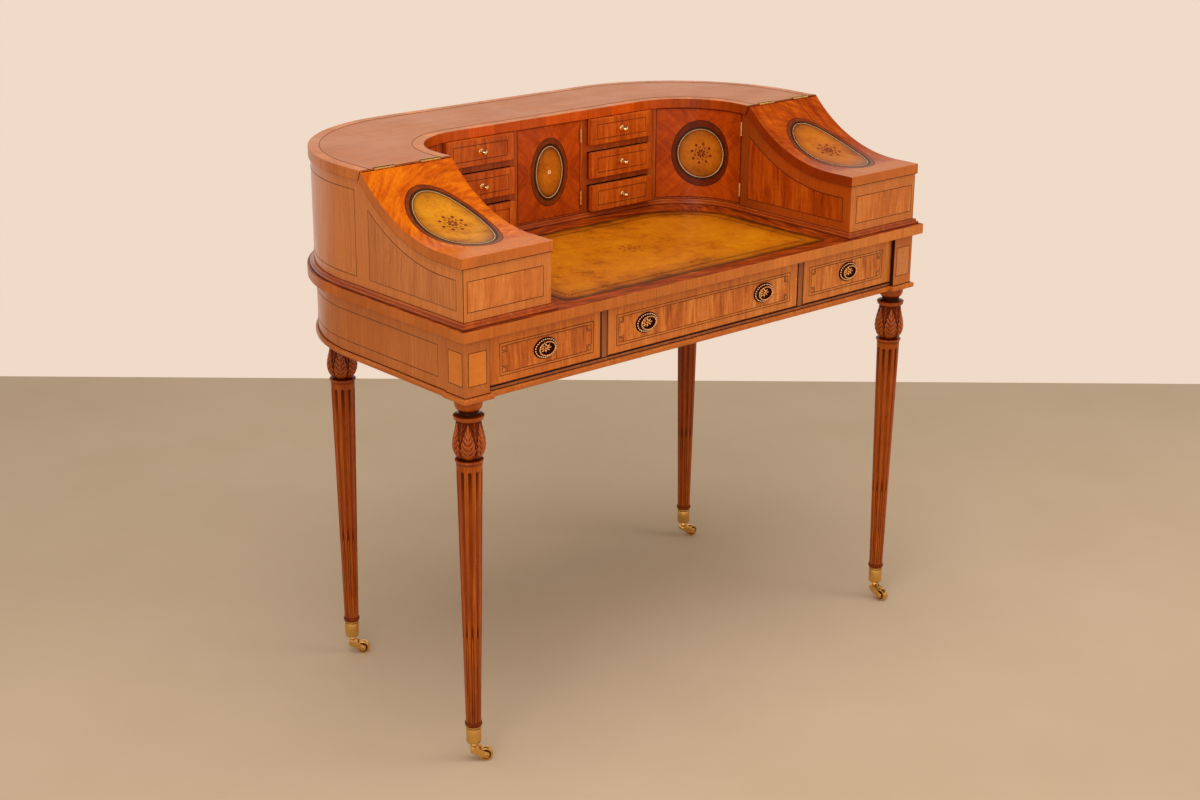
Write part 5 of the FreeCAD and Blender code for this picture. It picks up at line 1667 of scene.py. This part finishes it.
s = pullSet
for drawer, spots in s["at"].items():
    plates, rosettes, rows = newShape(), newShape(), []
    for x in spots:
        pullPlate(plates, rosettes, x)
        rows.append((oval(x, s["half"], s["faceY"] - s["beadHeight"], s["beadInset"]), True))
    beads = beadRow("plateBeads", rows, s["beadPitch"], s["bead"], 2, brass["bead"])
    shells = [shapeMesh("plates", plates, brass["antique"]), shapeMesh("rosettes", rosettes, brass["gilt"])]
    mesh = joined("pullPlates-" + drawer, shells + [beads])
    settle("pullPlates-" + drawer, mesh, "drawer_" + drawer, ["pull_plates_" + drawer])
ringSpots = zip(("left", "centre_left", "centre_right", "right"), sum(s["at"].values(), ()))
for label, x in ringSpots:
    loop = [(oval(x, s["ring"], s["pivotY"], 0.0, math.pi / 2), True)]
    beads = beadRow("ringBeads", loop, s["ringPitch"], s["ringBead"], 2, brass["gilt"])
    core = thread("ringCore", loop, s["core"], 10, brass["gilt"])
    mesh = joined("pullRing-" + label, [beads, tidyMesh(core)])
    settle("pullRing-" + label, mesh, "ring_" + label, ["pull_ring_" + label])
print("pulls made")

# Floor, pale backdrop, light and camera
stageSet = {
    "floor": tint(207, 184, 157), "floorDark": tint(201, 178, 150), "backdrop": tint(240, 218, 200),
    "half": 30.0, "edge": 1.5, "azimuth": 41.4, "fade": (3.0, 8.0), "world": 0.45,
    "light": tint(255, 248, 240), "ceiling": 0.12, "ceilingFrom": (0.42, 0.68),
    "lamps": {
        "overhead": {"at": (-0.5, -0.7, 3.3), "aim": (0.0, 0.0, 0.7), "size": 3.0, "power": 52.0},
        "frontLeft": {"at": (-3.0, -2.2, 2.0), "aim": (0.0, 0.0, 0.7), "size": 2.2, "power": 38.0},
        "frontRight": {"at": (2.3, -3.0, 2.0), "aim": (0.1, 0.0, 0.7), "size": 2.2, "power": 35.0},
    },
    "camera": (-2.3566, -2.6978, 1.6936), "forward": (0.6253, 0.7092, -0.3256), "roll": 0.37, "lens": 59.97,
}
black = (0.0, 0.0, 0.0, 1.0)


def makeFloor():
    s = stageSet
    floor = bpy.data.meshes.new("floor")
    corners = rectangle(lambda u, v: (u, v, 0.0), -s["half"], s["half"], -s["half"], s["half"])
    floor.from_pydata(corners, [], [(0, 1, 2, 3)])
    material, shader, spot = blank("floorFinish")
    x, y = split(spot["Object"])[:2]
    cloud = noise(spot["Object"], 1.6, 5.0, 0.6)
    colour = ramp(cloud, (0.35, s["floorDark"]), (0.65, s["floor"]))
    # far off, the floor turns into the backdrop
    turn = math.radians(s["azimuth"])
    far = x * math.sin(turn) + y * math.cos(turn) > s["edge"]
    far = larger(far, span(reachOf(x, y), *s["fade"], 0.0, 1.0, True))
    feed(shader, {
        "Base Color": blend(far, colour, black), "Emission Color": blend(far, black, s["backdrop"]),
        "Emission Strength": 1.0, "Roughness": 0.75, "Specular IOR Level": 0.0})
    floor.materials.append(material)
    item = shown("floor", floor)


def makeWorld():
    s = stageSet
    world = bpy.data.worlds.new("studio")
    bpy.context.scene.world = world
    world.use_nodes = True
    tree = world.node_tree
    tree.nodes.clear()
    path = outs(tree, put(tree, "ShaderNodeLightPath"))
    seen = larger(larger(path["Is Camera Ray"], path["Is Glossy Ray"]), path["Is Transmission Ray"])
    # pale walls under a dim ceiling, for reflections
    up = split(take(tree, "ShaderNodeTexCoord", None, "Generated"))[2]
    wall = larger(span(up, *s["ceilingFrom"], 1.0, s["ceiling"], True), path["Is Camera Ray"])
    light = take(tree, "ShaderNodeBackground", {"Color": s["light"], "Strength": s["world"]})
    show = take(tree, "ShaderNodeBackground", {"Color": s["backdrop"], "Strength": wall})
    mixed = take(tree, "ShaderNodeMixShader", {0: seen, 1: light, 2: show})
    put(tree, "ShaderNodeOutputWorld", {"Surface": mixed})


def makeLamps():
    for name, s in stageSet["lamps"].items():
        lamp = bpy.data.lights.new(name, "AREA")
        lamp.shape = "DISK"
        lamp.size = s["size"]
        lamp.energy = s["power"]
        lamp.color = stageSet["light"][:3]
        item = shown(name, lamp)
        item.location = s["at"]
        item.rotation_euler = (Vector(s["aim"]) - Vector(s["at"])).to_track_quat("-Z", "Y").to_euler()
        item.visible_glossy = name == "frontLeft"


def makeCamera():
    s = stageSet
    forward = Vector(s["forward"]).normalized()
    right = forward.cross(Vector((0, 0, 1))).normalized()
    up = right.cross(forward)
    roll = math.radians(s["roll"])
    across = right * math.cos(roll) + up * math.sin(roll)
    above = up * math.cos(roll) - right * math.sin(roll)
    camera = bpy.data.cameras.new("camera")
    camera.lens = s["lens"]
    camera.sensor_width = 36.0
    camera.sensor_fit = "HORIZONTAL"
    item = shown("camera", camera)
    turn = Matrix((across, above, -forward)).transposed()
    item.matrix_world = Matrix.Translation(Vector(s["camera"])) @ turn.to_4x4()
    bpy.context.scene.camera = item


makeFloor()
makeWorld()
makeLamps()
makeCamera()
bpy.context.scene.view_settings.view_transform = "Standard"
print("stage set")

bpy.context.view_layer.update()
